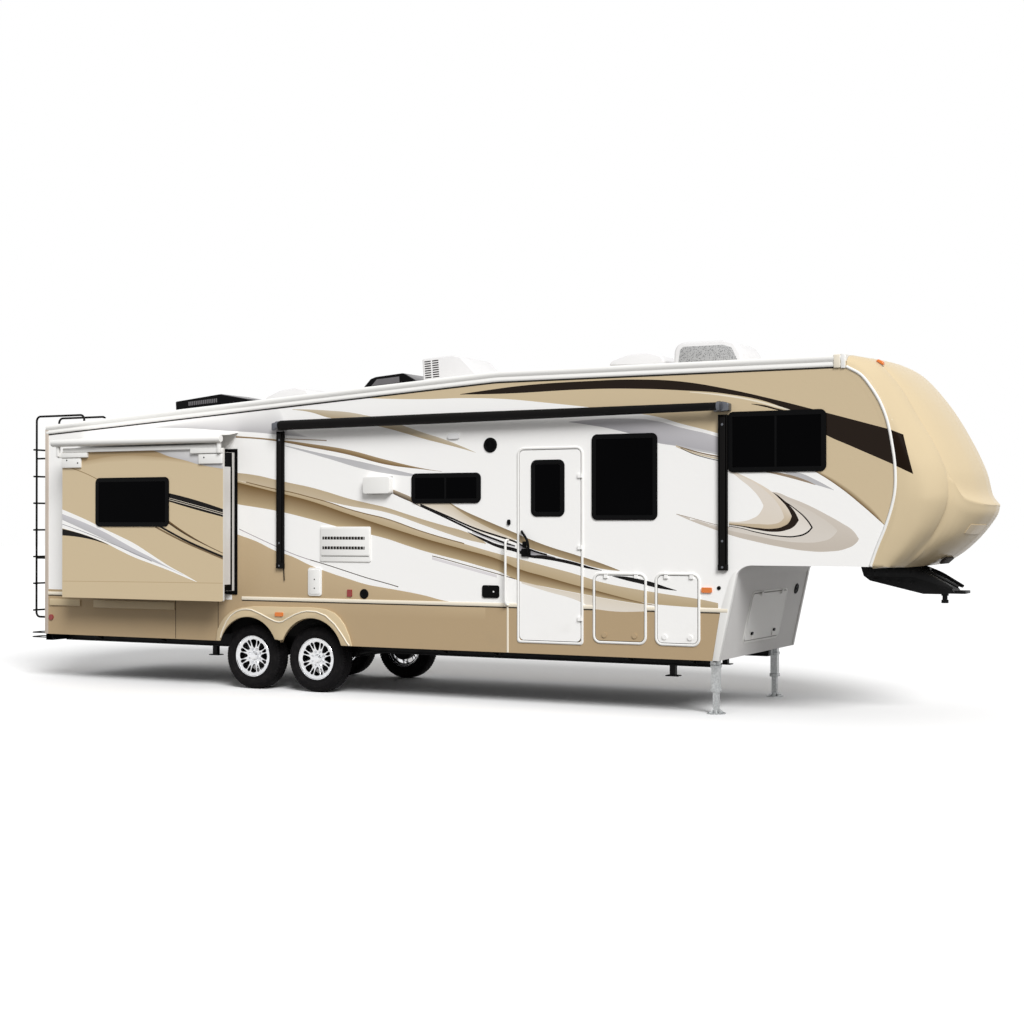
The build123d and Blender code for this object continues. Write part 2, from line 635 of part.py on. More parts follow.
# Slide-outs: a box open to the room with a fascia that laps the wall, run out on both sides
for side, name in ((-1, "right"), (1, "left")):
    fascia_y = side * (half_width + slide_reach)
    fascia_plane = Plane(origin=(0, fascia_y, 0), x_dir=(-side, 0, 0), z_dir=(0, side, 0))
    mid_x = (slide_rear_x + slide_front_x) / 2
    mid_z = (slide_bottom_z + slide_top_z) / 2
    box_width = slide_front_x - slide_rear_x - 2 * fascia_lap_side
    box_height = slide_top_z - slide_bottom_z - fascia_lap_bottom - fascia_lap_top
    box_z = slide_bottom_z + fascia_lap_bottom + box_height / 2
    x0, x1, z0, z1 = slide_window
    glass_place = Plane(origin=((x0 + x1) / 2, fascia_y, (z0 + z1) / 2), x_dir=(-side, 0, 0),
                        z_dir=(0, side, 0))
    with BuildPart() as slide_box:
        with BuildSketch(Plane(origin=(mid_x, fascia_y, mid_z), x_dir=(-side, 0, 0), z_dir=(0, side, 0))):
            RectangleRounded(slide_front_x - slide_rear_x, slide_top_z - slide_bottom_z, 12)
        extrude(amount=-fascia_thick)
        with BuildSketch(Plane(origin=(mid_x, fascia_y - side * fascia_thick, box_z), x_dir=(-side, 0, 0),
                               z_dir=(0, side, 0))):
            Rectangle(box_width, box_height)
            Rectangle(box_width - 2 * slide_wall, box_height - 2 * slide_wall, mode=Mode.SUBTRACT)
        extrude(amount=-(slide_reach - fascia_thick + slide_inset))
        with BuildSketch(glass_place):
            RectangleRounded(x1 - x0 - 2 * window_rim, z1 - z0 - 2 * window_rim, window_corner - window_rim)
        extrude(amount=-fascia_thick, mode=Mode.SUBTRACT)
    slide_box.part.label = f"slide_box_{name}"
    export_step(slide_box.part, f"parts/slide_box_{name}.step")

    with BuildPart() as slide_glass:
        with BuildSketch(glass_place):
            RectangleRounded(x1 - x0 - clear, z1 - z0 - clear, window_corner - window_rim)
        extrude(amount=glass_thick)
    slide_glass.part.label = f"slide_glass_{name}"
    export_step(slide_glass.part, f"parts/slide_glass_{name}.step")

    with BuildPart() as slide_trim:
        add(ring(glass_place, x1 - x0, z1 - z0, window_corner, window_rim + window_sleeve, window_flange))
    slide_trim.part.label = f"slide_trim_{name}"
    export_step(slide_trim.part, f"parts/slide_trim_{name}.step")

    # Roller of the topper on two end brackets, and its fabric sloping out from the wall
    roller_y = side * (half_width + slide_reach + topper_out)
    bracket_width = 70
    fascia_out = side * (half_width + slide_reach)
    with BuildPart() as topper_roller:
        with BuildSketch(Plane.YZ.offset(slide_rear_x + 10)):
            with Locations((roller_y, topper_z)):
                Circle(topper_radius)
        extrude(amount=slide_front_x - slide_rear_x - 20)
        for x in (slide_rear_x + 10, slide_front_x - 10 - bracket_width):
            with BuildSketch(Plane.YZ.offset(x)):
                with BuildLine():
                    Polyline((fascia_out, slide_top_z - bracket_drop),
                             (fascia_out + side * plate_thick, slide_top_z - bracket_drop),
                             (roller_y + side * topper_radius / 2, topper_z - topper_radius / 2),
                             (roller_y - side * topper_radius / 2, topper_z), (fascia_out, slide_top_z),
                             close=True)
                make_face()
            extrude(amount=bracket_width)
        for x0, x1, z0, z1, proud in topper_plates:
            plate_y = fascia_out if side < 0 else fascia_out + proud
            with BuildSketch(across(plate_y)):
                with Locations(((x0 + x1) / 2, (z0 + z1) / 2)):
                    Rectangle(x1 - x0, z1 - z0)
            extrude(amount=proud)
    topper_roller.part.label = f"topper_roller_{name}"
    export_step(topper_roller.part, f"parts/topper_roller_{name}.step")

    fabric_thick = 4
    fabric_edge = 40
    with BuildPart() as topper_fabric:
        with BuildSketch(Plane.YZ.offset(slide_rear_x + fabric_edge)):
            with BuildLine():
                wall_y = side * (half_width + seam)
                Polyline((wall_y, topper_rail_z), (roller_y, topper_z + topper_radius + fabric_thick),
                         (roller_y, topper_z + topper_radius + seam), (wall_y, topper_rail_z - fabric_thick),
                         close=True)
            make_face()
        extrude(amount=slide_front_x - slide_rear_x - 2 * fabric_edge)
    topper_fabric.part.label = f"topper_fabric_{name}"
    export_step(topper_fabric.part, f"parts/topper_fabric_{name}.step")

# Black seals on the wall round the slide-outs
with BuildPart() as slide_seals:
    for side in (-1, 1):
        seal_plane = Plane(origin=(mid_x, side * half_width, box_z), x_dir=(-side, 0, 0), z_dir=(0, side, 0))
        with BuildSketch(seal_plane):
            Rectangle(box_width + 2 * (slide_gap + seal_width), box_height + 2 * (slide_gap + seal_width))
            Rectangle(box_width + 2 * slide_gap, box_height + 2 * slide_gap, mode=Mode.SUBTRACT)
        extrude(amount=seal_proud)
slide_seals.part.label = "slide_seals"
export_step(slide_seals.part, "parts/slide_seals.step")

# Wheels: the tyre's section turned about its own middle plane, and a rim with a spoked disc
bead_half = rim_width / 2
shoulder = 28
hub_out = 62
disc_out = 55
disc_thick = 14
window_ring_radius = 150
window_radius = 36
spoke_windows = 8
# Wheels: name, side, axle
wheels = (
    ("front_right", -1, axle_x),
    ("front_left", 1, axle_x),
    ("rear_right", -1, axle_x - axle_spacing),
    ("rear_left", 1, axle_x - axle_spacing),
)
wheel_y = tyre_face_y - tyre_width / 2
for name, side, x in wheels:
    # X of the wheel's plane is the radius, Y is the way out of the trailer
    wheel_middle = (x, side * wheel_y, tyre_radius)
    turning = Plane(origin=wheel_middle, x_dir=(1, 0, 0), z_dir=(0, 0, side))
    wheel_axis = Axis(wheel_middle, (0, 1, 0))
    with BuildPart() as tyre:
        with BuildSketch(turning):
            with BuildLine():
                Polyline((rim_radius + seam, -bead_half + seam), (rim_radius + seam, bead_half - seam),
                         (rim_lip_radius, bead_half - seam))
                ThreePointArc((rim_lip_radius, bead_half - seam),
                              ((rim_lip_radius + tyre_radius) / 2, tyre_width / 2),
                              (tyre_radius - shoulder / 2, tyre_width / 2 - shoulder))
                Polyline((tyre_radius - shoulder / 2, tyre_width / 2 - shoulder), (tyre_radius, tyre_width / 4),
                         (tyre_radius, -tyre_width / 4), (tyre_radius - shoulder / 2, shoulder - tyre_width / 2))
                ThreePointArc((tyre_radius - shoulder / 2, shoulder - tyre_width / 2),
                              ((rim_lip_radius + tyre_radius) / 2, -tyre_width / 2),
                              (rim_lip_radius, seam - bead_half))
                Line((rim_lip_radius, seam - bead_half), (rim_radius + seam, seam - bead_half))
            make_face()
        revolve(axis=wheel_axis)
    tyre.part.label = f"tyre_{name}"
    export_step(tyre.part, f"parts/tyre_{name}.step")

    with BuildPart() as rim:
        with BuildSketch(turning):
            with BuildLine():
                Polyline((rim_radius - 12, -bead_half), (rim_lip_radius, -bead_half - 10),
                         (rim_lip_radius, -bead_half), (rim_radius, -bead_half), (rim_radius, bead_half),
                         (rim_lip_radius, bead_half), (rim_lip_radius, bead_half + 10),
                         (rim_radius - 12, bead_half), (rim_radius - 14, disc_out), (75, disc_out - 8),
                         (68, disc_out + 34), (0, disc_out + 40),
                         (0, disc_out + 20), (spindle_radius + spindle_gap, disc_out + 20),
                         (spindle_radius + spindle_gap, disc_out - 30), (70, disc_out - 30),
                         (90, disc_out - 8 - disc_thick), (rim_radius - 12, disc_out - disc_thick), close=True)
            make_face()
        revolve(axis=wheel_axis)
        with BuildSketch(Plane(origin=(x, side * (wheel_y + disc_out), tyre_radius), x_dir=(1, 0, 0),
                               z_dir=(0, side, 0))):
            with PolarLocations(window_ring_radius, spoke_windows):
                Circle(window_radius)
        extrude(amount=2 * disc_thick, both=True, mode=Mode.SUBTRACT)
    rim.part.label = f"rim_{name}"
    export_step(rim.part, f"parts/rim_{name}.step")

# Axles with drums and spindles that carry the wheels
spindle_end = wheel_y + disc_out + 20 - 2
with BuildPart() as axles:
    for x in (axle_x, axle_x - axle_spacing):
        with BuildSketch(Plane(origin=(x, -spindle_end, tyre_radius), x_dir=(1, 0, 0), z_dir=(0, 1, 0))):
            Circle(spindle_radius)
        extrude(amount=2 * spindle_end)
        with BuildSketch(Plane(origin=(x, -drum_y, tyre_radius), x_dir=(1, 0, 0), z_dir=(0, 1, 0))):
            Circle(axle_radius)
        extrude(amount=2 * drum_y)
        for side in (-1, 1):
            with BuildSketch(Plane(origin=(x, side * drum_y, tyre_radius), x_dir=(1, 0, 0), z_dir=(0, side, 0))):
                Circle(drum_radius)
            extrude(amount=drum_width)
axles.part.label = "axles"
export_step(axles.part, "parts/axles.step")

# Leaf springs over the axles, under the rails
leaf_thick = 12
spring_half = 330
spring_width = 45
spring_rise = 26
with BuildPart() as leaf_springs:
    for side in (-1, 1):
        spring_plane = across(side * rail_y + spring_width / 2)
        for x in (axle_x, axle_x - axle_spacing):
            seat_z = tyre_radius + axle_radius
            tip_z = seat_z + spring_rise
            x0, x1 = x - spring_half, x + spring_half
            with BuildSketch(spring_plane):
                with BuildLine():
                    ThreePointArc((x0, tip_z), (x, seat_z), (x1, tip_z))
                    Line((x1, tip_z), (x1, tip_z + leaf_thick))
                    ThreePointArc((x1, tip_z + leaf_thick), (x, seat_z + 2 * leaf_thick), (x0, tip_z + leaf_thick))
                    Line((x0, tip_z + leaf_thick), (x0, tip_z))
                make_face()
            extrude(amount=spring_width)
leaf_springs.part.label = "leaf_springs"
export_step(leaf_springs.part, "parts/leaf_springs.step")

# Chassis: two I-beams with crossmembers and outriggers under the floor, bumper with its receiver and bent
# wire hoops at the rear, folded entry step and stabiliser jacks
floor_bottom_z = floor_top_z - floor_thick
web_thick = 8
flange_thick = 12
cross_height = 90
cross_width = 50
bumper_wall = 5
rail_rear_x = rear_x - 25
outrigger_thick = 12
outrigger_root = 130
outrigger_tip = 40
outrigger_xs = (-4900, -3900, 60, 700, 2300, 3000)
jack_xs = (-3159, 2750)
jack_size = 60
jack_low_z = 350
jack_pad_thick = 10
step_width, step_depth, step_height, step_gap = 620, 300, 55, 15
receiver_behind = 30
hoop_reach_x = -5868
hoop_rod = 7
hoop_bend = 50
hoop_y0, hoop_y1 = -1060, -840
hoop_zs = (500, 556)
with BuildPart() as chassis_frame:
    rail_height = floor_bottom_z - rail_bottom_z
    rail_out_y = rail_y + rail_width / 2 + seam
    for side in (-1, 1):
        with BuildSketch(Plane.YZ.offset(rail_rear_x + seam)):
            with Locations((side * rail_y, rail_bottom_z)):
                Rectangle(web_thick, rail_height, align=(Align.CENTER, Align.MIN))
                Rectangle(rail_width, flange_thick, align=(Align.CENTER, Align.MIN))
            with Locations((side * rail_y, floor_bottom_z)):
                Rectangle(rail_width, flange_thick, align=(Align.CENTER, Align.MAX))
        extrude(amount=rail_front_x - rail_rear_x - seam)
        for x in outrigger_xs:
            with BuildSketch(Plane.YZ.offset(x)):
                with BuildLine():
                    Polyline((side * rail_out_y, floor_bottom_z), (side * inner_y, floor_bottom_z),
                             (side * inner_y, floor_bottom_z - outrigger_tip),
                             (side * rail_out_y, floor_bottom_z - outrigger_root), close=True)
                make_face()
            extrude(amount=outrigger_thick)
        for x in jack_xs:
            with BuildSketch(Plane.XY.offset(rail_bottom_z - seam)):
                with Locations((x, side * rail_y)):
                    Rectangle(jack_size, jack_size)
            extrude(amount=jack_low_z - rail_bottom_z + seam)
            with BuildSketch(Plane.XY.offset(jack_low_z)):
                with Locations((x, side * rail_y)):
                    RectangleRounded(2.4 * jack_size, 2 * jack_size, jack_size / 4)
            extrude(amount=jack_pad_thick)
    cross_count = int((rail_front_x - rail_rear_x - cross_width) / crossmember_pitch) + 1
    for i in range(cross_count):
        x = rail_rear_x + seam + cross_width / 2 + i * crossmember_pitch
        with BuildSketch(Plane.XY.offset(floor_bottom_z)):
            with Locations((x, 0)):
                Rectangle(cross_width, 2 * (rail_y - rail_width / 2 - seam))
        extrude(amount=-cross_height)
    with BuildSketch(Plane.XZ.offset(-bumper_half_length)):
        with Locations((rail_rear_x, bumper_z)):
            Rectangle(bumper_size, bumper_size, align=(Align.MAX, Align.MIN))
        with Locations((rail_rear_x - bumper_wall, bumper_z + bumper_wall)):
            Rectangle(bumper_size - 2 * bumper_wall, bumper_size - 2 * bumper_wall,
                      align=(Align.MAX, Align.MIN), mode=Mode.SUBTRACT)
    extrude(amount=2 * bumper_half_length)
    receiver_z = bumper_z - receiver_outer / 2 - seam
    with BuildSketch(Plane.YZ.offset(rail_rear_x - bumper_size - receiver_behind)):
        with Locations((0, receiver_z)):
            Rectangle(receiver_outer, receiver_outer)
            Rectangle(receiver_bore, receiver_bore, mode=Mode.SUBTRACT)
    extrude(amount=receiver_length)
    step_x = (entry_door[1] + entry_door[2]) / 2
    with BuildSketch(Plane.XY.offset(floor_bottom_z)):
        with Locations((step_x, -rail_out_y - step_gap - step_depth / 2)):
            Rectangle(step_width, step_depth)
    extrude(amount=-step_height)
    for z in hoop_zs:
        with BuildLine(Plane.XY.offset(z)) as hoop:
            FilletPolyline((rail_rear_x - bumper_size - seam, hoop_y0), (hoop_reach_x, hoop_y0),
                           (hoop_reach_x, hoop_y1), (rail_rear_x - bumper_size - seam, hoop_y1),
                           radius=hoop_bend)
        with BuildSketch(Plane(origin=hoop.line @ 0, z_dir=hoop.line % 0)):
            Circle(hoop_rod)
        sweep(path=hoop.line)
chassis_frame.part.label = "chassis_frame"
export_step(chassis_frame.part, "parts/chassis_frame.step")

# Landing legs: square drop tubes with a cross shaft, and round feet on the ground
leg_ahead = 25
leg_x = rail_front_x + leg_ahead
leg_y = 935
brace_length = 53
shaft_ahead, shaft_drop = 12, 60
leg_outer = 76
leg_inner = 56
leg_split_z = 230
foot_radius = 95
foot_thick = 12
foot_neck_radius = 40
foot_neck_z = 45
shaft_radius = 13
with BuildPart() as landing_legs:
    for side in (-1, 1):
        with BuildSketch(Plane.XY.offset(leg_split_z)):
            with Locations((leg_x, side * leg_y)):
                Rectangle(leg_outer, leg_outer)
        extrude(amount=floor_bottom_z - leg_split_z)
        with BuildSketch(Plane.XY.offset(foot_neck_z)):
            with Locations((leg_x, side * leg_y)):
                Rectangle(leg_inner, leg_inner)
        extrude(amount=leg_split_z - foot_neck_z)
        brace_y0, brace_y1 = rail_y + rail_width / 2, leg_y - leg_outer / 2
        with BuildSketch(Plane.XY.offset(rail_bottom_z)):
            with Locations((leg_x, side * (brace_y0 + brace_y1) / 2)):
                Rectangle(leg_ahead + brace_length, brace_y1 - brace_y0, align=(Align.MAX, Align.CENTER))
        extrude(amount=floor_bottom_z - rail_bottom_z)
    shaft_z = floor_bottom_z - shaft_drop
    with BuildSketch(Plane.XZ.offset(-leg_y)):
        with Locations((leg_x + shaft_ahead, shaft_z)):
            Circle(shaft_radius)
    extrude(amount=2 * leg_y)
    for side in (-1, 1):
        with BuildSketch(Plane.XY):
            with Locations((leg_x, side * leg_y)):
                Circle(foot_radius)
        extrude(amount=foot_thick)
        with BuildSketch(Plane.XY.offset(foot_thick)):
            with Locations((leg_x, side * leg_y)):
                Circle(foot_neck_radius)
        extrude(amount=foot_neck_z - foot_thick)
landing_legs.part.label = "landing_legs"
export_step(landing_legs.part, "parts/landing_legs.step")

# Pin box below the overhang, and the king pin under its front plate
pin_box_top_z = 1500
pin_plate_z = 1227
pin_box_width = 330
pin_mount_length = 384
pin_x = 5371
pin_collar_radius, pin_neck_radius, pin_head_radius = 36.5, 25.4, 35.7
pin_collar_z, pin_neck_z, pin_foot_z = 1207, 1165, 1132
with BuildPart() as pin_box:
    with BuildSketch(across(pin_box_width / 2)):
        with BuildLine():
            Polyline((4554, pin_box_top_z), (4585, pin_box_top_z - 100), (4650, pin_box_top_z - 148),
                     (5190, pin_plate_z), (5420, pin_plate_z), (5501, pin_plate_z + 18),
                     (5440, pin_plate_z + 98), (5100, pin_box_top_z), close=True)
        make_face()
    extrude(amount=pin_box_width)
    with BuildSketch(Plane.XY.offset(pin_box_top_z)):
        with Locations((cap_foot_x - pin_mount_length / 2 - 10, 0)):
            Rectangle(pin_mount_length, pin_box_width + 120)
    extrude(amount=overhang_z - pin_box_top_z)
pin_box.part.label = "pin_box"
export_step(pin_box.part, "parts/pin_box.step")

with BuildPart() as king_pin:
    with BuildSketch(Plane(origin=(pin_x, 0, 0), x_dir=(1, 0, 0), z_dir=(0, -1, 0))):
        with BuildLine():
            Polyline((0, pin_plate_z), (pin_collar_radius, pin_plate_z), (pin_collar_radius, pin_collar_z),
                     (pin_neck_radius, pin_collar_z), (pin_neck_radius, pin_neck_z),
                     (pin_head_radius, pin_neck_z), (pin_head_radius, pin_foot_z), (0, pin_foot_z), close=True)
        make_face()
    revolve(axis=Axis((pin_x, 0, 0), (0, 0, 1)))
king_pin.part.label = "king_pin"
export_step(king_pin.part, "parts/king_pin.step")

# Ladder on the rear wall, with hooks over the roof
ladder_ys = (-1120, -720)
ladder_x = -5725
ladder_rod = 13
ladder_foot_z = 760
ladder_top_z = 3280
ladder_hook_x = -4945
ladder_bend = 60
rung_rod = 11
rung_low_z, rung_pitch, rung_count, rung_overhang = 845, 336, 7, 50
stay_zs = (1500, 2750)
roof_arc_radius = (half_width ** 2 + roof_crown ** 2) / (2 * roof_crown)


def roof_top(x, y):
    """Height of the crowned roof surface at a place."""
    return roof_z(x) + roof_crown - roof_arc_radius + (roof_arc_radius ** 2 - y ** 2) ** 0.5


with BuildPart() as ladder:
    for y in ladder_ys:
        with BuildLine(across(y)) as rod:
            FilletPolyline((rear_x - seam, ladder_foot_z), (ladder_x, ladder_foot_z), (ladder_x, ladder_top_z),
                           (ladder_hook_x, ladder_top_z),
                           (ladder_hook_x, roof_top(ladder_hook_x + ladder_rod, y + ladder_rod) + seam),
                           radius=ladder_bend)
        with BuildSketch(Plane(origin=rod.line @ 0, z_dir=rod.line % 0)):
            Circle(ladder_rod)
        sweep(path=rod.line)
        for z in stay_zs:
            with BuildSketch(Plane(origin=(ladder_x, y, z), x_dir=(0, 1, 0), z_dir=(1, 0, 0))):
                Circle(rung_rod)
            extrude(amount=rear_x - ladder_x)
    for i in range(rung_count):
        with BuildSketch(Plane.XZ.offset(-ladder_ys[1] - rung_overhang)):
            with Locations((ladder_x, rung_low_z + i * rung_pitch)):
                Circle(rung_rod)
        extrude(amount=ladder_ys[1] - ladder_ys[0] + 2 * rung_overhang)
ladder.part.label = "ladder"
export_step(ladder.part, "parts/ladder.step")


def roof_plane(x):
    """Upright plane along the roof's middle line: X up the slope, Y square to the roof."""
    slope = atan2(front_roof_z - rear_roof_z, kink_x - rear_x) if x < kink_x else 0
    return Plane(origin=(x, 0, roof_z(x) + roof_crown + seam), x_dir=(cos(slope), 0, sin(slope)),
                 z_dir=(0, -1, 0))


# Side outlines of the roof units, along the roof from their middle and up
front_unit = ((-393, 0), (-385, 190), (-350, 250), (-280, 275), (170, 275), (290, 245), (365, 130), (393, 0))
middle_unit = ((-441, 0), (-441, 330), (-27, 330), (70, 300), (160, 200), (260, 90), (441, 40), (441, 0))
rear_vent = ((-550, 0), (-550, 110), (117, 190), (550, 60), (550, 0))
middle_vent = ((-370, 0), (-290, 140), (110, 210), (370, 20), (370, 0))
dome = ((-285, 0), (-250, 75), (-110, 135), (90, 150), (230, 100), (285, 0))
# Roof units: node, middle X, width, outline
roof_units = (
    ("air_conditioners", -118, 720, middle_unit),
    ("air_conditioners", 2968, 700, front_unit),
    ("roof_vents", -3601, 620, rear_vent),
    ("roof_vents", -943, 560, middle_vent),
    ("vent_domes", -2440, 600, dome),
    ("vent_domes", 2154, 560, dome),
)
for node in ("air_conditioners", "roof_vents", "vent_domes"):
    with BuildPart() as units:
        for name, x, width, side_outline in roof_units:
            if name == node:
                with BuildSketch(roof_plane(x)):
                    with BuildLine():
                        Polyline(side_outline, close=True)
                    make_face()
                extrude(amount=width / 2, both=True)
    units.part.label = node
    export_step(units.part, f"parts/{node}.step")

# Patio awning: two arms against the wall and the roller in front of them
arm_width = 76
arm_depth = 50
awning_radius = 60
# Arms: X, bottom, top
awning_arms_table = ((-1860, 1425, 3080), (3462, 1483, 3150))
with BuildPart() as awning_arms:
    for x, z0, z1 in awning_arms_table:
        with BuildSketch(across(-half_width)):
            with Locations((x, z0)):
                Rectangle(arm_width, z1 - z0, align=(Align.CENTER, Align.MIN))
        extrude(amount=arm_depth)
awning_arms.part.label = "awning_arms"
export_step(awning_arms.part, "parts/awning_arms.step")

awning_y = -(half_width + arm_depth + seam + awning_radius)
awning_ends = ((-1842, 3022), (3463, 3098))
with BuildPart() as awning_roller:
    start = Vector(awning_ends[0][0], awning_y, awning_ends[0][1])
    finish = Vector(awning_ends[1][0], awning_y, awning_ends[1][1])
    with BuildSketch(Plane(origin=start, z_dir=finish - start)):
        Circle(awning_radius)
    extrude(amount=(finish - start).length)
awning_roller.part.label = "awning_roller"
export_step(awning_roller.part, "parts/awning_roller.step")

# Fittings on the right wall: node, X, Z, width, height, corner radius, how far they stand out
wall_fittings_table = (
    ("wall_hatches", -1023, 1702, 675, 395, 20, 14),
    ("wall_hatches", -1432, 1273, 185, 320, 40, 18),
    ("wall_hatches", -573, 2358, 346, 187, 25, 80),
    ("wall_fittings", -774, 1149, 110, 110, 54, 16),
    ("wall_fittings", 823, 2775, 160, 160, 79, 16),
    ("wall_fittings", 829, 1206, 206, 135, 25, 12),
    ("wall_fittings", 3410, 1291, 40, 40, 19, 10),
    ("wall_fittings", 498, 2879, 150, 60, 29, 22),
    ("lamps_red", -5380, 768, 70, 70, 34, 14),
    ("lamps_red", -966, 1154, 62, 80, 8, 12),
    ("lamps_amber", 3283, 1268, 110, 52, 12, 18),
)
fender_top_z = arch_z + arch_radius + fender_band
for node in ("wall_hatches", "wall_fittings", "lamps_red", "lamps_amber"):
    with BuildPart() as fittings:
        for name, x, z, width, height, corner, proud in wall_fittings_table:
            if name == node:
                with BuildSketch(across(-half_width)):
                    with Locations((x, z)):
                        RectangleRounded(width, height, corner)
                extrude(amount=proud)
        if node == "lamps_amber":
            for side in (-1, 1):
                lamp_y = side * (half_width + fender_proud)
                with BuildSketch(across(lamp_y if side < 0 else lamp_y + 14)):
                    with Locations(((arch_xs[0] + arch_xs[1]) / 2, fender_top_z - 68)):
                        RectangleRounded(110, 46, 12)
                extrude(amount=14)
        if node == "lamps_red":
            for side in (-1, 1):
                with BuildSketch(Plane(origin=(rear_x, side * 1000, 1150), x_dir=(0, 1, 0), z_dir=(-1, 0, 0))):
                    RectangleRounded(150, 320, 30)
                extrude(amount=25)
    fittings.part.label = node
    export_step(fittings.part, f"parts/{node}.step")

# Folding grab handle behind the entry door
grab_x = 1035
grab_z0, grab_z1 = 1068, 1759
grab_rod = 13
grab_out = 62
with BuildPart() as grab_handle:
    with BuildLine(Plane.YZ.offset(grab_x)) as grip:
        FilletPolyline((-half_width - seam, grab_z0), (-half_width - grab_out, grab_z0),
                       (-half_width - grab_out, grab_z1), (-half_width - seam, grab_z1), radius=40)
    with BuildSketch(Plane(origin=grip.line @ 0, z_dir=grip.line % 0)):
        Circle(grab_rod)
    sweep(path=grip.line)
grab_handle.part.label = "grab_handle"
export_step(grab_handle.part, "parts/grab_handle.step")
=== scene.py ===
"""Looks of a tandem-axle fifth wheel trailer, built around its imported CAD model."""
import math

import bmesh
import bpy
from mathutils import Matrix, Vector


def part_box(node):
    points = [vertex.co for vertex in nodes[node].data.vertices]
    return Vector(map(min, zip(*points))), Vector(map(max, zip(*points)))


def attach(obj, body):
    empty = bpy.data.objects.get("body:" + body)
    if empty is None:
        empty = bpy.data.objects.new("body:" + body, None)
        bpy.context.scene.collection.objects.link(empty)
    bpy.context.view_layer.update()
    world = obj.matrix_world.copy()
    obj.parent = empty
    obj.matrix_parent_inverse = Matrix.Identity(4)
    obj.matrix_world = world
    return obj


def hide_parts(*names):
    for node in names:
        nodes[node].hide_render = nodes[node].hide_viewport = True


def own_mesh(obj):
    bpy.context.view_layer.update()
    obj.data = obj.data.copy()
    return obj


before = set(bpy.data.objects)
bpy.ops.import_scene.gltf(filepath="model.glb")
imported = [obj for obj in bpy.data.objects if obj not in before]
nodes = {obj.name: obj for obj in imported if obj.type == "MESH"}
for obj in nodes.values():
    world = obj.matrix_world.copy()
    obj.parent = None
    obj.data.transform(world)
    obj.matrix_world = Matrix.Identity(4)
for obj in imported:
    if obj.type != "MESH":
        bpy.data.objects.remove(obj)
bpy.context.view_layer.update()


# Camera: a level view from off the right front corner, at eye height, through a normal lens. It stands
# where the length, height and width of the trailer come out as measured.
camera = bpy.data.objects.new("camera", bpy.data.cameras.new("camera"))
camera.location = (9.086, -16.640, 1.940)
camera.rotation_euler = (math.radians(90.385), 0, math.radians(27.431))
camera.data.lens = 57.41
camera.data.clip_end = 400
bpy.context.scene.collection.objects.link(camera)
bpy.context.scene.camera = camera


# Chassis, axles and springs: welded steel sections sprayed satin black, bolted under the floor.
# The paint is thin, slightly uneven and dusty where the road throws dirt up.
class Flow:
    """One output of a material's nodes. The signs + - * / > < on it add Math nodes."""

    def __init__(self, tree, socket):
        self.tree, self.socket = tree, socket

    def node(self, kind, settings, values, out=0):
        """Adds a node: its type, the settings made first, then its sockets' values or links."""
        made = self.tree.nodes.new("ShaderNode" + kind)
        for name, value in settings.items():
            if name == "points":
                curve = made.mapping.curves[0]
                made.mapping.use_clip = False
                while len(curve.points) < len(value):
                    curve.points.new(0.5, 0.5)
                for point, place in zip(curve.points, sorted(value)):
                    point.location = place
                made.mapping.update()
            else:
                setattr(made, name, value)
        for name, value in values.items():
            if isinstance(value, Flow):
                self.tree.links.new(value.socket, made.inputs[name])
            else:
                made.inputs[name].default_value = value
        return Flow(self.tree, made.outputs[out] if made.outputs else None)

    def math(self, operation, first, *others):
        return self.node("Math", {"operation": operation}, dict(enumerate((first, *others))))

    def __add__(self, other):
        return self.math("ADD", self, other)

    def __sub__(self, other):
        return self.math("SUBTRACT", self, other)

    def __rsub__(self, other):
        return self.math("SUBTRACT", other, self)

    def __mul__(self, other):
        return self.math("MULTIPLY", self, other)

    def __truediv__(self, other):
        return self.math("DIVIDE", self, other)

    def __gt__(self, other):
        return self.math("GREATER_THAN", self, other)

    def __lt__(self, other):
        return self.math("LESS_THAN", self, other)

    __radd__, __rmul__ = __add__, __mul__

    def mix(self, low, high):
        """Colour between two colours, by this share."""
        return self.node("Mix", {"data_type": "RGBA"}, {0: self, 6: low, 7: high}, out=2)

    def ramp(self, start, end):
        """Share from 0 at start to 1 at end, eased at both ends."""
        return self.node("MapRange", {"interpolation_type": "SMOOTHSTEP"}, {0: self, 1: start, 2: end})

    def noise(self, scale, detail=3.0, stretch=(1, 1, 1)):
        """Soft noise over the object's own coordinates."""
        place = self.node("Mapping", {}, {0: self, 3: stretch})
        return self.node("TexNoise", {}, {"Vector": place, "Scale": scale, "Detail": detail})

    def parts(self):
        """The three numbers of a vector."""
        return [self.node("SeparateXYZ", {}, {0: self}, out=i) for i in range(3)]


def material(name):
    """A new material and the object coordinates in it."""
    made = bpy.data.materials.new(name)
    made.use_nodes = True
    made.node_tree.nodes.clear()
    coordinates = made.node_tree.nodes.new("ShaderNodeTexCoord")
    return made, Flow(made.node_tree, coordinates.outputs["Object"])


def finish(flow, height=None, depth=0.001, **sockets):
    """Joins the shader's sockets, a bump of the given height in metres, and the output."""
    values = {name.replace("_", " "): value for name, value in sockets.items()}
    if height is not None:
        values["Normal"] = flow.node("Bump", {}, {"Height": height, "Distance": depth})
    shader = flow.node("BsdfPrincipled", {}, values)
    flow.node("OutputMaterial", {}, {"Surface": shader})


def rgb(red, green, blue):
    """A linear colour from the usual 0 to 255 values."""
    shares = [v / 255 for v in (red, green, blue)]
    return tuple(v / 12.92 if v < 0.04045 else ((v + 0.055) / 1.055) ** 2.4 for v in shares) + (1,)


def dress(made, *names):
    """Gives a material to CAD nodes."""
    for name in names:
        nodes[name].data.materials.clear()
        nodes[name].data.materials.append(made)


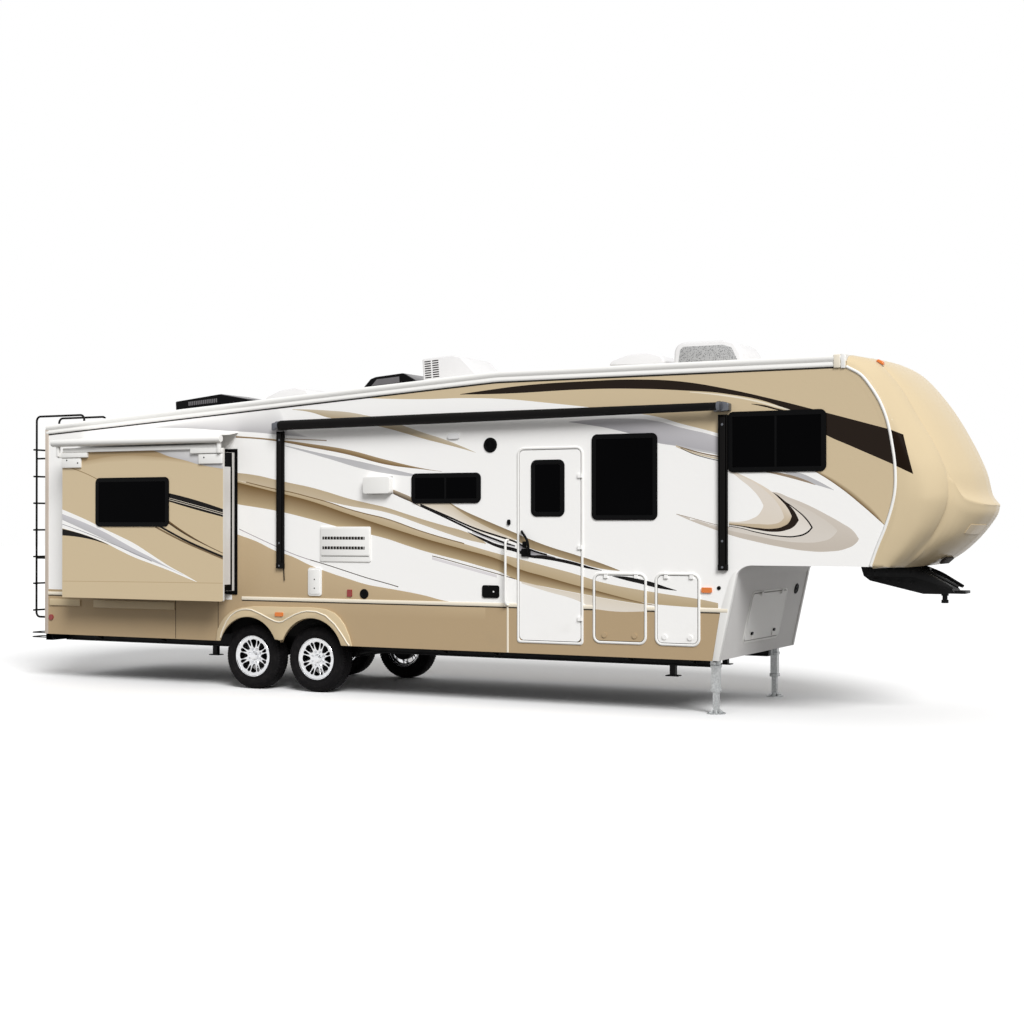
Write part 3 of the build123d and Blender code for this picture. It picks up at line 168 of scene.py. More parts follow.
chassis_black, place = material("chassis_black")
dust = place.noise(6, 5).ramp(0.5, 0.85)
finish(place, height=place.noise(260, 2), depth=0.0004, Base_Color=dust.mix(rgb(12, 12, 13), rgb(26, 25, 24)),
       Roughness=dust * 0.3 + 0.42, Specular_IOR_Level=0.12)
dress(chassis_black, "chassis_frame", "axles", "leaf_springs")


# Frame fittings: bolt heads and gussets on the rails, and the hangers and equalisers of the springs.
# Cut from plate and welded, with zinc-plated bolts through them.
class Shape:
    """A mesh being put together from rounded parts, in metres, where it stands on the trailer."""

    def __init__(self):
        self.mesh = bmesh.new()

    def take(self, part, turn=None):
        """Adds a finished part, turned into its place."""
        if turn is not None:
            part.transform(turn)
        held = bpy.data.meshes.new("part")
        part.to_mesh(held)
        part.free()
        self.mesh.from_mesh(held)
        bpy.data.meshes.remove(held)

    def plate(self, outline, near, far, along="Y", soft=0.003, steps=2, turn=None):
        """Outline in two axes, carried along the third from near to far, with soft edges."""
        part = bmesh.new()
        order = {"X": lambda a, b, c: (c, a, b), "Y": lambda a, b, c: (a, c, b), "Z": lambda a, b, c: (a, b, c)}
        ends = [[part.verts.new(order[along](a, b, c)) for a, b in outline] for c in (near, far)]
        for end in ends:
            part.faces.new(end)
        for i in range(len(outline)):
            j = (i + 1) % len(outline)
            part.faces.new((ends[0][i], ends[0][j], ends[1][j], ends[1][i]))
        bmesh.ops.recalc_face_normals(part, faces=part.faces[:])
        if soft:
            bmesh.ops.bevel(part, geom=part.edges[:], offset=soft, segments=steps, profile=0.5, affect="EDGES",
                            clamp_overlap=True)
        self.take(part, turn)

    def block(self, low, high, soft=0.003, steps=2, turn=None):
        """Block between two corners."""
        corners = [(low[0], low[2]), (high[0], low[2]), (high[0], high[2]), (low[0], high[2])]
        self.plate(corners, low[1], high[1], soft=soft, steps=steps, turn=turn)

    def lathe(self, profile, centre, axis, steps=32, around=False):
        """Profile of radius and height pairs, turned about an axis through a centre."""
        part = bmesh.new()
        axis = Vector(axis).normalized()
        side = axis.orthogonal().normalized()
        up = axis.cross(side)
        rings = []
        for k in range(steps):
            angle = 2 * math.pi * k / steps
            out = side * math.cos(angle) + up * math.sin(angle)
            rings.append([part.verts.new(Vector(centre) + out * r + axis * h) for r, h in profile])
        count = len(profile)
        for k in range(steps):
            a, b = rings[k], rings[(k + 1) % steps]
            for i in range(count if around else count - 1):
                part.faces.new((a[i], b[i], b[(i + 1) % count], a[(i + 1) % count]))
        if not around:
            for i in (0, count - 1):
                if profile[i][0] > 0:
                    part.faces.new([ring[i] for ring in rings])
        bmesh.ops.remove_doubles(part, verts=part.verts[:], dist=1e-6)
        bmesh.ops.recalc_face_normals(part, faces=part.faces[:])
        self.take(part)

    def rod(self, path, radius, steps=12, bend=0.0):
        """Round bar along a path, its corners bent to a radius."""
        points = [Vector(p) for p in path]
        line = [points[0]]
        for before, corner, after in zip(points, points[1:], points[2:]):
            reach = min(bend, (before - corner).length / 2, (after - corner).length / 2)
            if reach < 1e-4:
                line.append(corner)
                continue
            start = corner + (before - corner).normalized() * reach
            end = corner + (after - corner).normalized() * reach
            for k in range(7):
                t = k / 6
                line.append(start * (1 - t) ** 2 + corner * 2 * t * (1 - t) + end * t * t)
        line.append(points[-1])
        self.sweep(line, [(radius * math.cos(2 * math.pi * k / steps), radius * math.sin(2 * math.pi * k / steps))
                          for k in range(steps)])

    def sweep(self, line, section, side=None):
        """Closed section carried along a line of points, square to it, with its ends closed."""
        part = bmesh.new()
        line = [Vector(p) for p in line]
        rings = []
        across = None
        for k, point in enumerate(line):
            ahead = (line[min(k + 1, len(line) - 1)] - line[max(k - 1, 0)]).normalized()
            if side is not None:
                across = Vector(side)
            elif across is None:
                across = ahead.orthogonal()
            across = (across - ahead * across.dot(ahead)).normalized()
            up = ahead.cross(across)
            rings.append([part.verts.new(point + across * a + up * b) for a, b in section])
        count = len(section)
        for first, second in zip(rings, rings[1:]):
            for i in range(count):
                j = (i + 1) % count
                part.faces.new((first[i], first[j], second[j], second[i]))
        part.faces.new(rings[0])
        part.faces.new(rings[-1])
        bmesh.ops.recalc_face_normals(part, faces=part.faces[:])
        self.take(part)

    def grid(self, rows, around=False, near=1e-6):
        """Surface through rows of points; those nearer than near become one."""
        part = bmesh.new()
        made = [[part.verts.new(p) for p in row] for row in rows]
        for first, second in zip(made, made[1:]):
            for i in range(len(first) if around else len(first) - 1):
                j = (i + 1) % len(first)
                part.faces.new((first[i], first[j], second[j], second[i]))
        bmesh.ops.remove_doubles(part, verts=part.verts[:], dist=near)
        bmesh.ops.recalc_face_normals(part, faces=part.faces[:])
        self.take(part)

    def piece(self, name, made, slot, body="root", sharp=35):
        """Makes the object, with its material and the body it moves with; the slot argument is not used."""
        data = bpy.data.meshes.new(name)
        self.mesh.to_mesh(data)
        self.mesh.free()
        data.materials.append(made)
        data.shade_smooth()
        data.set_sharp_from_angle(angle=math.radians(sharp))
        thing = bpy.data.objects.new(name, data)
        bpy.context.scene.collection.objects.link(thing)
        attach(thing, body)
        return thing


hangers = Shape()
spring_y, rail_face_y = 0.79, 0.831
front_axle_x, rear_axle_x = -1.525, -2.415
hanger_x = (-2.775, -1.97, -1.165)
rail_bolt_x = (-5.2, -4.4, -3.3, -0.6, 0.4, 1.5, 2.6, 3.1)
for side in (-1, 1):
    y = side * spring_y
    for x in hanger_x:
        for near in (y - 0.034, y + 0.026):
            hangers.plate([(x - 0.045, 0.475), (x + 0.045, 0.475), (x + 0.028, 0.405), (x - 0.028, 0.405)],
                          near, near + 0.008)
        hangers.rod([(x, y - 0.042, 0.43), (x, y + 0.042, 0.43)], 0.011)
    for x in (front_axle_x, rear_axle_x):
        for k in range(3):
            half, leaf_z = 0.29 - 0.085 * k, 0.449 + 0.009 * k
            hangers.block((x - half, y - 0.021, leaf_z), (x + half, y + 0.021, leaf_z + 0.007), 0.002)
        for bolt_x in (x - 0.035, x + 0.035):
            hangers.rod([(bolt_x, y - 0.03, 0.49), (bolt_x, y - 0.03, 0.335), (bolt_x, y + 0.03, 0.335),
                         (bolt_x, y + 0.03, 0.49)], 0.007, bend=0.028)
        hangers.block((x - 0.055, y - 0.04, 0.33), (x + 0.055, y + 0.04, 0.34), 0.002)
    for x in rail_bolt_x:
        hangers.lathe([(0.013, 0), (0.013, 0.009), (0.007, 0.012), (0, 0.012)], (x, side * rail_face_y, 0.54),
                      (0, side, 0), 6)
hangers.piece("spring_hangers", chassis_black, "black_steel")


# Landing legs: square drop tubes of zinc-plated steel inside outer tubes, with round feet.
# The drop tubes are drilled for their pins, and ribs brace the feet.
zinc, place = material("zinc_plate")
spangle = place.node("TexVoronoi", {}, {"Vector": place, "Scale": 45})
finish(place, height=place.noise(150), depth=0.0002,
       Base_Color=spangle.mix(rgb(158, 160, 161), rgb(196, 198, 198)), Metallic=0.8,
       Roughness=spangle * 0.15 + 0.36)
dress(zinc, "landing_legs")
leg_low, leg_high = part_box("landing_legs")
leg_x = (leg_low[0] + leg_high[0]) / 2
leg_y, collar = 0.935, 0.046
legs = Shape()
for side in (-1, 1):
    y = side * leg_y
    for z0, z1 in ((0.225, 0.262), (0.47, 0.5)):
        legs.block((leg_x - collar, y - collar, z0), (leg_x + collar, y + collar, z1), 0.004)
    legs.rod([(leg_x, y - 0.058, 0.243), (leg_x, y + 0.058, 0.243)], 0.008)
    legs.lathe([(0.02, -0.006), (0.02, 0.004), (0.012, 0.008), (0, 0.008)], (leg_x, y - collar, 0.52), (0, -1, 0), 16)
    for k in range(4):
        turn = Matrix.Translation((leg_x, y, 0)) @ Matrix.Rotation(math.radians(45 + 90 * k), 4, "Z")
        legs.plate([(0.03, 0.012), (0.088, 0.012), (0.036, 0.052), (0.03, 0.052)], -0.004, 0.004, turn=turn)
    for k in range(5):
        legs.lathe([(0.0085, 0), (0.0085, 0.003), (0.006, 0.0035), (0.0055, 0.001), (0, 0.001)],
                   (leg_x, y - 0.028, 0.075 + 0.032 * k), (0, -1, 0), 12)
legs.piece("leg_fittings", zinc, "galvanised")


# Tyres: radial trailer tyres in black rubber, each with four ribs, lugged shoulders and a guard ridge.
# Each is moulded in one piece with its tread and seated on the rim by its beads, two to a side.
rubber, place = material("tyre_rubber")
scuff = place.noise(18, 6).ramp(0.45, 0.8)
finish(place, height=place.noise(220, 4), depth=0.0005, Base_Color=scuff.mix(rgb(21, 20, 21), rgb(36, 34, 34)),
       Roughness=scuff * 0.18 + 0.6, Specular_IOR_Level=0.06)
sidewall = [(0.2385, 0.0945), (0.245, 0.0985), (0.252, 0.1), (0.2565, 0.1045), (0.262, 0.105), (0.265, 0.1025),
            (0.275, 0.1055), (0.287, 0.1095), (0.2885, 0.1108), (0.309, 0.1122), (0.325, 0.1108), (0.3265, 0.1095),
            (0.34, 0.1065), (0.3455, 0.1035), (0.3465, 0.1055), (0.3525, 0.1035), (0.3535, 0.1), (0.363, 0.0945)]
tread = [(0.3715, 0.0895), (0.3765, 0.084), (0.3792, 0.076), (0.381, 0.066), (0.3815, 0.0575), (0.3735, 0.0555),
         (0.3735, 0.0505), (0.382, 0.0485), (0.3832, 0.034), (0.3835, 0.0225), (0.3745, 0.0205), (0.3745, 0.0155),
         (0.3835, 0.0135), (0.3835, 0)]
half = sidewall + tread
section = half + [(r, -h) for r, h in reversed(half[:-1])] + [(0.2175, -0.094), (0.2175, 0.094)]
steps = 288
tyre_radius, wheel_y = 0.3835, 0.9675
wheels = {}
for axle, x in (("front", front_axle_x), ("rear", rear_axle_x)):
    for side, hand in ((-1, "right"), (1, "left")):
        wheels[axle + "_" + hand] = side, Vector((x, side * wheel_y, tyre_radius))
for name, (side, centre) in wheels.items():
    rows = []
    for k in range(steps):
        angle = 2 * math.pi * k / steps
        row = []
        for r, h in section:
            if r > 0.37 and abs(h) > 0.057 and k % 4 == 0:
                r -= 0.0075
            elif r > 0.38 and (k + int(h > 0)) % 6 == 0 and abs(h) > 0.002:
                r -= 0.003
            row.append(centre + Vector((r * math.cos(angle), side * h, r * math.sin(angle))))
        rows.append(row)
    tyre = Shape()
    tyre.grid(rows + rows[:1], around=True)
    tyre = tyre.piece("tread_" + name, rubber, "tyre_rubber", "wheel_" + name, sharp=30)
    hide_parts("tyre_" + name)


# Rims: cast alloy, polished, with eight pairs of spokes, eight nuts and a stepped centre cap.
# The face is cast in one with the barrel, cut through between its spokes, and held on the hub by the nuts.
polish, place = material("polished_rim")
finish(place, height=place.noise(90), depth=0.0001, Base_Color=rgb(226, 227, 229), Metallic=1,
       Roughness=place.noise(12).ramp(0.3, 0.8) * 0.1 + 0.1)
barrel = [(0.2405, 0.0955), (0.2405, 0.1022), (0.2375, 0.1045), (0.2325, 0.1035), (0.229, 0.0975), (0.216, 0.0905),
          (0.2055, 0.0885), (0.203, 0.078), (0.198, 0.055), (0.195, 0.0), (0.199, -0.075), (0.236, -0.1035),
          (0.2405, -0.102), (0.2405, -0.0965), (0.2165, -0.094), (0.2165, 0.094)]
spoke_rows = [(0.048, 0.069, 0, 0), (0.086, 0.0665, 0, 0), (0.093, 0.069, 0, 0), (0.098, 0.0695, 0.009, 0),
              (0.107, 0.071, 0.017, 0), (0.118, 0.073, 0.021, 0.001), (0.124, 0.074, 0.023, 0.006),
              (0.14, 0.0765, 0.029, 0.0115), (0.158, 0.079, 0.0345, 0.0155), (0.174, 0.0815, 0.039, 0.019),
              (0.186, 0.0835, 0.039, 0.019), (0.1935, 0.085, 0.028, 0.012), (0.197, 0.086, 0, 0),
              (0.2015, 0.087, 0, 0), (0.2055, 0.0885, 0, 0)]
spokes = 8
pitch = 2 * math.pi / spokes
for name, (side, centre) in wheels.items():
    axis = (0, side, 0)
    rim = Shape()
    rim.lathe(barrel, centre, axis, 96, around=True)
    face = bmesh.new()
    loops = []
    for r, h, wide, narrow in spoke_rows:
        wide_turn, narrow_turn = wide / r, narrow / r
        spoke = (pitch / 2 - wide_turn - narrow_turn) / 3
        turns = [wide_turn + spoke * i for i in range(4)]
        turns = [0] + turns + [pitch - turn for turn in reversed(turns)]
        loop = []
        for k in range(spokes):
            for i, turn in enumerate(turns):
                crown = 0.003 if i in (2, 3, 6, 7) and wide else 0
                turn += k * pitch
                loop.append(centre + Vector((r * math.cos(turn), side * (h + crown), r * math.sin(turn))))
        loops.append(loop)
    back = Vector((0, -side * 0.024, 0))
    fronts = [[face.verts.new(p) for p in loop] for loop in loops]
    backs = [[face.verts.new(p + back) for p in loop] for loop in loops]
    count = len(loops[0])
    for i in range(len(loops) - 1):
        wide = spoke_rows[i][2] + spoke_rows[i + 1][2]
        narrow = spoke_rows[i][3] + spoke_rows[i + 1][3]
        for j in range(count):
            place_in = j % 9
            k = (j + 1) % count
            if (place_in in (0, 8) and wide > 0) or (place_in == 4 and narrow > 0):
                continue
            face.faces.new((fronts[i][j], fronts[i][k], fronts[i + 1][k], fronts[i + 1][j]))
            walls = []
            if place_in in (1, 5) and (wide if place_in == 1 else narrow) > 0:
                walls.append(j)
            if place_in in (3, 7) and (narrow if place_in == 3 else wide) > 0:
                walls.append(k)
            for wall in walls:
                face.faces.new((fronts[i][wall], fronts[i + 1][wall], backs[i + 1][wall], backs[i][wall]))
    bmesh.ops.remove_doubles(face, verts=face.verts[:], dist=1e-6)
    bmesh.ops.delete(face, geom=[v for v in face.verts if not v.link_faces], context="VERTS")
    rim.take(face)
    rim.lathe([(0.052, 0.067), (0.052, 0.083), (0.047, 0.09), (0.041, 0.091), (0.038, 0.0955), (0.02, 0.0975),
               (0, 0.0975)], centre, axis, 48)
    for k in range(spokes):
        angle = (k + 0.5) * pitch
        spot = centre + Vector((0.076 * math.cos(angle), 0, 0.076 * math.sin(angle)))
        rim.lathe([(0.0115, 0.066), (0.0115, 0.083), (0.009, 0.0865), (0.005, 0.088), (0, 0.088)], spot, axis, 6)
    rim.lathe([(0.003, 0.088), (0.003, 0.106), (0.0015, 0.107), (0, 0.107)], centre + Vector((0.213, 0, 0.02)),
              axis, 8)
    rim = rim.piece("spokes_" + name, polish, "polished_rim", "wheel_" + name, sharp=28)
    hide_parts("rim_" + name)


# Underside: floor deck and the deck over the hitch, closed by a dark corrugated sheet.
# The sheet is black plastic, screwed to the frame from below.
def plain(name, colours, rough, grain, depth, patches=3, spread=3, **sockets):
    """Material of one colour, or of two in soft patches, over a grain of the given scale and detail."""
    made, place = material(name)
    shades = [rgb(*colour) for colour in colours]
    shade = shades[0] if len(shades) == 1 else place.noise(patches, spread).mix(*shades)
    finish(place, height=place.noise(*grain), depth=depth, Base_Color=shade, Roughness=rough, **sockets)
    return made


underbelly = plain("underbelly_sheet", [(24, 23, 23)], 0.75, (80, 4), 0.001, Specular_IOR_Level=0.2)
dress(underbelly, "floor_deck", "bedroom_deck")


# Side walls, skirts and doors: gel-coated glass-fibre panels, white above and tan below, with swept vinyl
# stripes and a band of painted shade under the roof rail. Every stripe is given by the places of its two
# edges, in metres along and up the wall.
WHITE, TAN, DEEP_TAN = rgb(250, 249, 247), rgb(208, 189, 156), rgb(181, 158, 125)
BROWN, BLACK_BROWN, INK = rgb(118, 92, 58), rgb(28, 17, 8), rgb(10, 7, 6)
SILVER, MIST = rgb(190, 189, 191), rgb(232, 226, 218)
long_sweep = ((-2.6, 2.43), (-2, 2.3), (-1.5, 2.19), (-1, 2.045), (-0.5, 1.905), (-0.25, 1.838), (0, 1.772),
              (0.25, 1.712), (0.5, 1.654), (0.9, 1.557), (1.18, 1.45), (1.5, 1.372), (1.83, 1.292), (2.1, 1.233),
              (2.56, 1.133))
wall_stripes = (  # colour at the lower edge, colour at the upper edge, upper edge, lower edge
    # The first stripe, grey at its foot fading up to white, is painted shade under the roof rail, ending at the
    # awning's rear arm.
    (rgb(184, 182, 184), WHITE,
     ((-3.75, 3.09), (-3.2, 3.16), (-2.2, 3.26), (-1.95, 3.27), (-1.85, 3.12), (-1.7, 2.985), (-1.2, 2.9)),
     ((-3.75, 3.085), (-3.2, 3.06), (-2.7, 3.02), (-2.2, 2.983), (-1.9, 2.95), (-1.6, 2.925), (-1.2, 2.895))),
    (TAN, TAN,
     ((-0.7, 3.36), (0, 3.6), (2, 3.8), (5.3, 3.8)),
     ((-0.7, 3.33), (0, 3.296), (0.5, 3.29), (1.0, 3.262), (1.5, 3.205), (2.0, 3.14), (2.5, 3.065), (2.75, 3.02),
      (3.0, 2.945), (3.4, 2.835), (4.0, 2.61), (4.392, 2.442), (4.634, 2.287), (4.892, 2.08), (5.073, 1.92),
      (5.3, 1.7))),
    (rgb(176, 174, 178), rgb(196, 194, 197),
     ((1.75, 2.998), (2.48, 3.01), (2.75, 2.975), (3.0, 2.905), (3.4, 2.8), (4.1, 2.5), (4.58, 2.26)),
     ((1.75, 2.995), (2.4, 2.87), (2.75, 2.755), (2.95, 2.72), (3.4, 2.62), (4.08, 2.437), (4.58, 2.255))),
    (WHITE, WHITE,
     ((4.0, 2.47), (4.23, 2.44), (4.392, 2.38), (4.58, 2.262)),
     ((4.0, 2.46), (4.23, 2.37), (4.4, 2.30), (4.58, 2.258))),
    (SILVER, SILVER,
     ((4.08, 2.445), (4.25, 2.425), (4.4, 2.36), (4.58, 2.262)),
     ((4.08, 2.435), (4.3, 2.345), (4.5, 2.282), (4.58, 2.258))),
    (rgb(150, 132, 112), rgb(150, 132, 112),
     ((3.9, 2.445), (4.05, 2.43), (4.25, 2.378), (4.4, 2.312)),
     ((3.9, 2.44), (4.05, 2.405), (4.25, 2.352), (4.4, 2.308))),
    (rgb(104, 76, 36), TAN,
     ((4.392, 2.46), (4.634, 2.335), (4.892, 2.14), (5.0, 2.03), (5.073, 1.925)),
     ((4.392, 2.442), (4.634, 2.287), (4.892, 2.08), (5.0, 1.985), (5.073, 1.92))),
    (BLACK_BROWN, BLACK_BROWN,
     ((0.45, 3.334), (0.75, 3.362), (1.25, 3.4), (2.0, 3.415), (2.5, 3.41), (3.0, 3.37), (3.5, 3.275), (4.0, 3.15),
      (4.5, 3.01), (5.1, 2.838), (5.3, 2.78)),
     ((0.45, 3.33), (1.0, 3.32), (2.0, 3.33), (2.5, 3.315), (3.0, 3.28), (3.5, 3.225), (4.0, 3.1), (4.25, 2.96),
      (4.51, 2.79), (4.75, 2.68), (5.15, 2.5), (5.3, 2.43))),
    (rgb(236, 226, 206), rgb(236, 226, 206),
     ((3.1, 3.262), (3.5, 3.215), (3.75, 3.165), (4.0, 3.097), (4.15, 3.046)),
     ((3.1, 3.256), (3.5, 3.198), (3.75, 3.148), (4.0, 3.078), (4.15, 3.036))),
    (BLACK_BROWN, BLACK_BROWN,
     ((3.75, 3.119), (3.9, 3.098), (4.0, 3.068), (4.09, 3.045)),
     ((3.75, 3.115), (3.9, 3.08), (4.0, 3.052), (4.09, 3.036))),
    (rgb(182, 164, 134), rgb(206, 194, 172),
     ((-1.75, 3.24), (-1.5, 3.23), (-1.25, 3.21), (-1.0, 3.185), (-0.75, 3.14), (-0.5, 3.085), (0, 2.925),
      (0.25, 2.85), (0.64, 2.7)),
     ((-1.75, 3.235), (-1.5, 3.2), (-1.25, 3.13), (-1.0, 3.095), (-0.5, 2.995), (-0.25, 2.93), (0, 2.86), (0.25, 2.8),
      (0.45, 2.75), (0.64, 2.698))),
    (BROWN, rgb(168, 146, 112),
     ((-2.55, 2.955), (-2, 2.905), (-1.5, 2.84), (-1, 2.763), (-0.5, 2.643), (0, 2.535), (0.22, 2.503)),
     ((-2.55, 2.935), (-2, 2.885), (-1.5, 2.8), (-1, 2.709), (-0.5, 2.59), (0, 2.525), (0.22, 2.5))),
    (SILVER, SILVER,
     ((-1.85, 2.83), (-1.25, 2.708), (-0.75, 2.61), (-0.25, 2.5), (-0.1, 2.47)),
     ((-1.85, 2.82), (-1.25, 2.665), (-0.75, 2.535), (-0.25, 2.46), (-0.1, 2.45))),
    (rgb(200, 184, 158), rgb(190, 172, 142),
     ((-2.6, 2.53), (-2.25, 2.491), (-2, 2.441), (-1.75, 2.393), (-1.5, 2.346), (-1.25, 2.285), (-1, 2.218),
      (-0.75, 2.165), (-0.5, 2.114), (-0.25, 2.045), (0, 1.975), (0.25, 1.912), (0.5, 1.85), (0.7, 1.77),
      (0.77, 1.72)),
     ((-2.6, 2.455), (-2, 2.328), (-1.5, 2.228), (-1.25, 2.182), (-1, 2.135), (-0.5, 2.06), (0, 1.914), (0.25, 1.838),
      (0.5, 1.768), (0.7, 1.727), (0.77, 1.715))),
    (rgb(186, 166, 132), rgb(198, 180, 150),
     ((-2.6, 2.46), (-2.5, 2.432), (-2, 2.33), (-1.75, 2.285), (-1.5, 2.23), (-1.25, 2.17), (-1, 2.098),
      (-0.75, 2.04), (-0.5, 1.987), (0, 1.838), (0.5, 1.715), (0.9, 1.616), (1.18, 1.556), (1.5, 1.484),
      (1.83, 1.408), (2.1, 1.334), (2.56, 1.256), (3.0, 1.2), (3.17, 1.18), (3.4, 1.14)),
     long_sweep + ((3.0, 1.098), (3.4, 1.09))),
    (rgb(188, 168, 134), rgb(112, 86, 50),
     long_sweep + ((2.72, 1.105),),
     ((-2.6, 2.17), (-2.5, 2.155), (-2, 2.085), (-1.5, 1.985), (-1, 1.868), (-0.5, 1.77), (-0.25, 1.7), (0, 1.633),
      (0.25, 1.578), (0.5, 1.525), (0.76, 1.462), (0.9, 1.43), (1.18, 1.322), (1.5, 1.266), (1.83, 1.214),
      (2.1, 1.173), (2.56, 1.113), (2.72, 1.1))),
    (rgb(228, 220, 208), rgb(224, 214, 198),
     ((1.2, 1.32), (1.5, 1.262), (1.83, 1.21), (2.1, 1.17), (2.56, 1.11), (2.64, 1.105)),
     ((1.2, 1.3), (1.5, 1.22), (1.83, 1.14), (2.03, 1.06), (2.1, 1.044), (2.64, 1.04))),
    (DEEP_TAN, rgb(196, 174, 140),
     ((-2.6, 1.83), (-2.5, 1.8), (-2.25, 1.726), (-2.0, 1.626), (-1.75, 1.556), (-1.5, 1.459), (-1.25, 1.383),
      (-1.0, 1.317), (-0.75, 1.256), (-0.5, 1.22), (-0.25, 1.187), (0, 1.148), (0.25, 1.096), (0.5, 1.067),
      (0.76, 1.048)),
     ((-2.6, 0.9), (0.76, 0.9))),
    (rgb(66, 52, 38), rgb(176, 160, 138),
     ((-0.4, 2.31), (-0.3, 2.275), (-0.17, 2.225), (-0.05, 2.16), (0, 2.13)),
     ((-0.4, 2.262), (-0.3, 2.22), (-0.17, 2.17), (-0.05, 2.118), (0, 2.1))),
    (rgb(236, 228, 216), rgb(206, 192, 168),
     ((-0.1, 2.16), (0.33, 2.155), (0.5, 2.04), (0.7, 1.955), (0.9, 1.87), (1.12, 1.79)),
     ((-0.1, 2.15), (0.1, 2.06), (0.3, 2.0), (0.5, 1.92), (0.7, 1.84), (0.9, 1.79), (1.12, 1.73))),
    (rgb(178, 158, 126), rgb(136, 116, 86),
     ((0.32, 2.158), (0.5, 2.072), (0.7, 1.992), (0.9, 1.917), (1.12, 1.835), (1.3, 1.768), (1.5, 1.7), (1.84, 1.606),
      (2.1, 1.53), (2.33, 1.452)),
     ((0.32, 2.15), (0.5, 2.035), (0.7, 1.935), (0.9, 1.85), (1.12, 1.765), (1.3, 1.675), (1.5, 1.62), (1.84, 1.533),
      (2.1, 1.47), (2.33, 1.447))),
    (rgb(186, 184, 188), rgb(120, 116, 118),
     ((1.15, 1.74), (1.3, 1.66), (1.45, 1.62), (1.6, 1.58)),
     ((1.15, 1.65), (1.3, 1.6), (1.45, 1.585), (1.6, 1.565))),
    (INK, INK,
     ((0.54, 1.846), (0.73, 1.778), (0.9, 1.716), (1.12, 1.672), (1.3, 1.605), (1.45, 1.6), (1.6, 1.575),
      (1.84, 1.528), (1.95, 1.497), (2.13, 1.45)),
     ((0.54, 1.842), (0.73, 1.75), (0.9, 1.682), (1.12, 1.632), (1.3, 1.575), (1.45, 1.56), (1.6, 1.54),
      (1.84, 1.495), (1.95, 1.47), (2.13, 1.446))),
    (INK, INK,
     ((2.25, 1.394), (2.4, 1.39), (2.56, 1.365), (2.7, 1.335), (2.85, 1.29), (2.96, 1.26)),
     ((2.25, 1.39), (2.4, 1.352), (2.56, 1.32), (2.7, 1.288), (2.85, 1.265), (2.96, 1.256))),
    (rgb(200, 190, 178), rgb(210, 201, 190),
     ((2.955, 2.03), (3.118, 1.985), (3.5, 1.9), (3.7, 1.93), (3.85, 2.2), (3.962, 2.244), (4.152, 2.184),
      (4.324, 2.115), (4.496, 2.029), (4.668, 1.934), (4.771, 1.865), (4.826, 1.79)),
     ((2.955, 2.028), (3.118, 1.96), (3.394, 1.865), (3.549, 1.814), (3.807, 1.753), (4.065, 1.702), (4.324, 1.667),
      (4.53, 1.664), (4.702, 1.693), (4.806, 1.753), (4.826, 1.785))),
    (rgb(218, 211, 202), rgb(214, 206, 196),
     ((3.3, 1.93), (3.7, 1.97), (3.85, 2.19), (4.0, 2.2), (4.238, 2.11), (4.461, 1.99), (4.58, 1.905), (4.616, 1.87)),
     ((3.3, 1.915), (3.549, 1.86), (3.807, 1.81), (4.065, 1.765), (4.238, 1.75), (4.461, 1.762), (4.56, 1.8),
      (4.616, 1.862))),
    (INK, INK,
     ((3.514, 1.912), (3.7, 1.99), (3.9, 2.235), (4.05, 2.175), (4.2, 2.08), (4.32, 1.975), (4.372, 1.9)),
     ((3.514, 1.904), (3.635, 1.886), (3.807, 1.843), (4.065, 1.803), (4.203, 1.803), (4.32, 1.84), (4.372, 1.892))),
    (MIST, rgb(224, 216, 206),
     ((3.514, 1.918), (3.7, 1.985), (3.9, 2.23), (4.05, 2.165), (4.2, 2.068), (4.31, 1.965), (4.355, 1.9)),
     ((3.514, 1.912), (3.635, 1.893), (3.807, 1.853), (4.065, 1.815), (4.203, 1.817), (4.31, 1.852), (4.355, 1.894))),
    (BLACK_BROWN, BLACK_BROWN,
     ((3.514, 1.925), (3.7, 2.0), (3.9, 2.255), (3.979, 2.236), (4.08, 2.165), (4.16, 2.09), (4.21, 2.02),
      (4.232, 1.97)),
     ((3.514, 1.92), (3.635, 1.905), (3.807, 1.872), (3.979, 1.853), (4.1, 1.868), (4.19, 1.91), (4.232, 1.965))),
    (rgb(196, 178, 150), rgb(226, 214, 198),
     ((3.514, 2.477), (3.65, 2.415), (3.807, 2.339), (3.962, 2.244), (4.05, 2.165), (4.12, 2.085), (4.16, 2.01)),
     ((3.514, 1.927), (3.635, 1.915), (3.807, 1.892), (3.979, 1.885), (4.08, 1.91), (4.14, 1.955), (4.16, 2.0))),
    (rgb(224, 214, 200), rgb(226, 217, 206),
     ((3.514, 2.467), (3.65, 2.4), (3.807, 2.32), (3.93, 2.225), (4.02, 2.13), (4.07, 2.04), (4.083, 2.0)),
     ((3.514, 1.94), (3.635, 1.935), (3.807, 1.93), (3.979, 1.93), (4.05, 1.955), (4.083, 1.99))),
    (WHITE, WHITE,
     ((3.1, 2.455), (3.514, 2.45), (3.65, 2.36), (3.76, 2.27), (3.83, 2.19), (3.872, 2.115)),
     ((3.1, 1.975), (3.3, 1.965), (3.514, 1.955), (3.65, 1.955), (3.76, 1.985), (3.83, 2.03), (3.872, 2.1))),
)
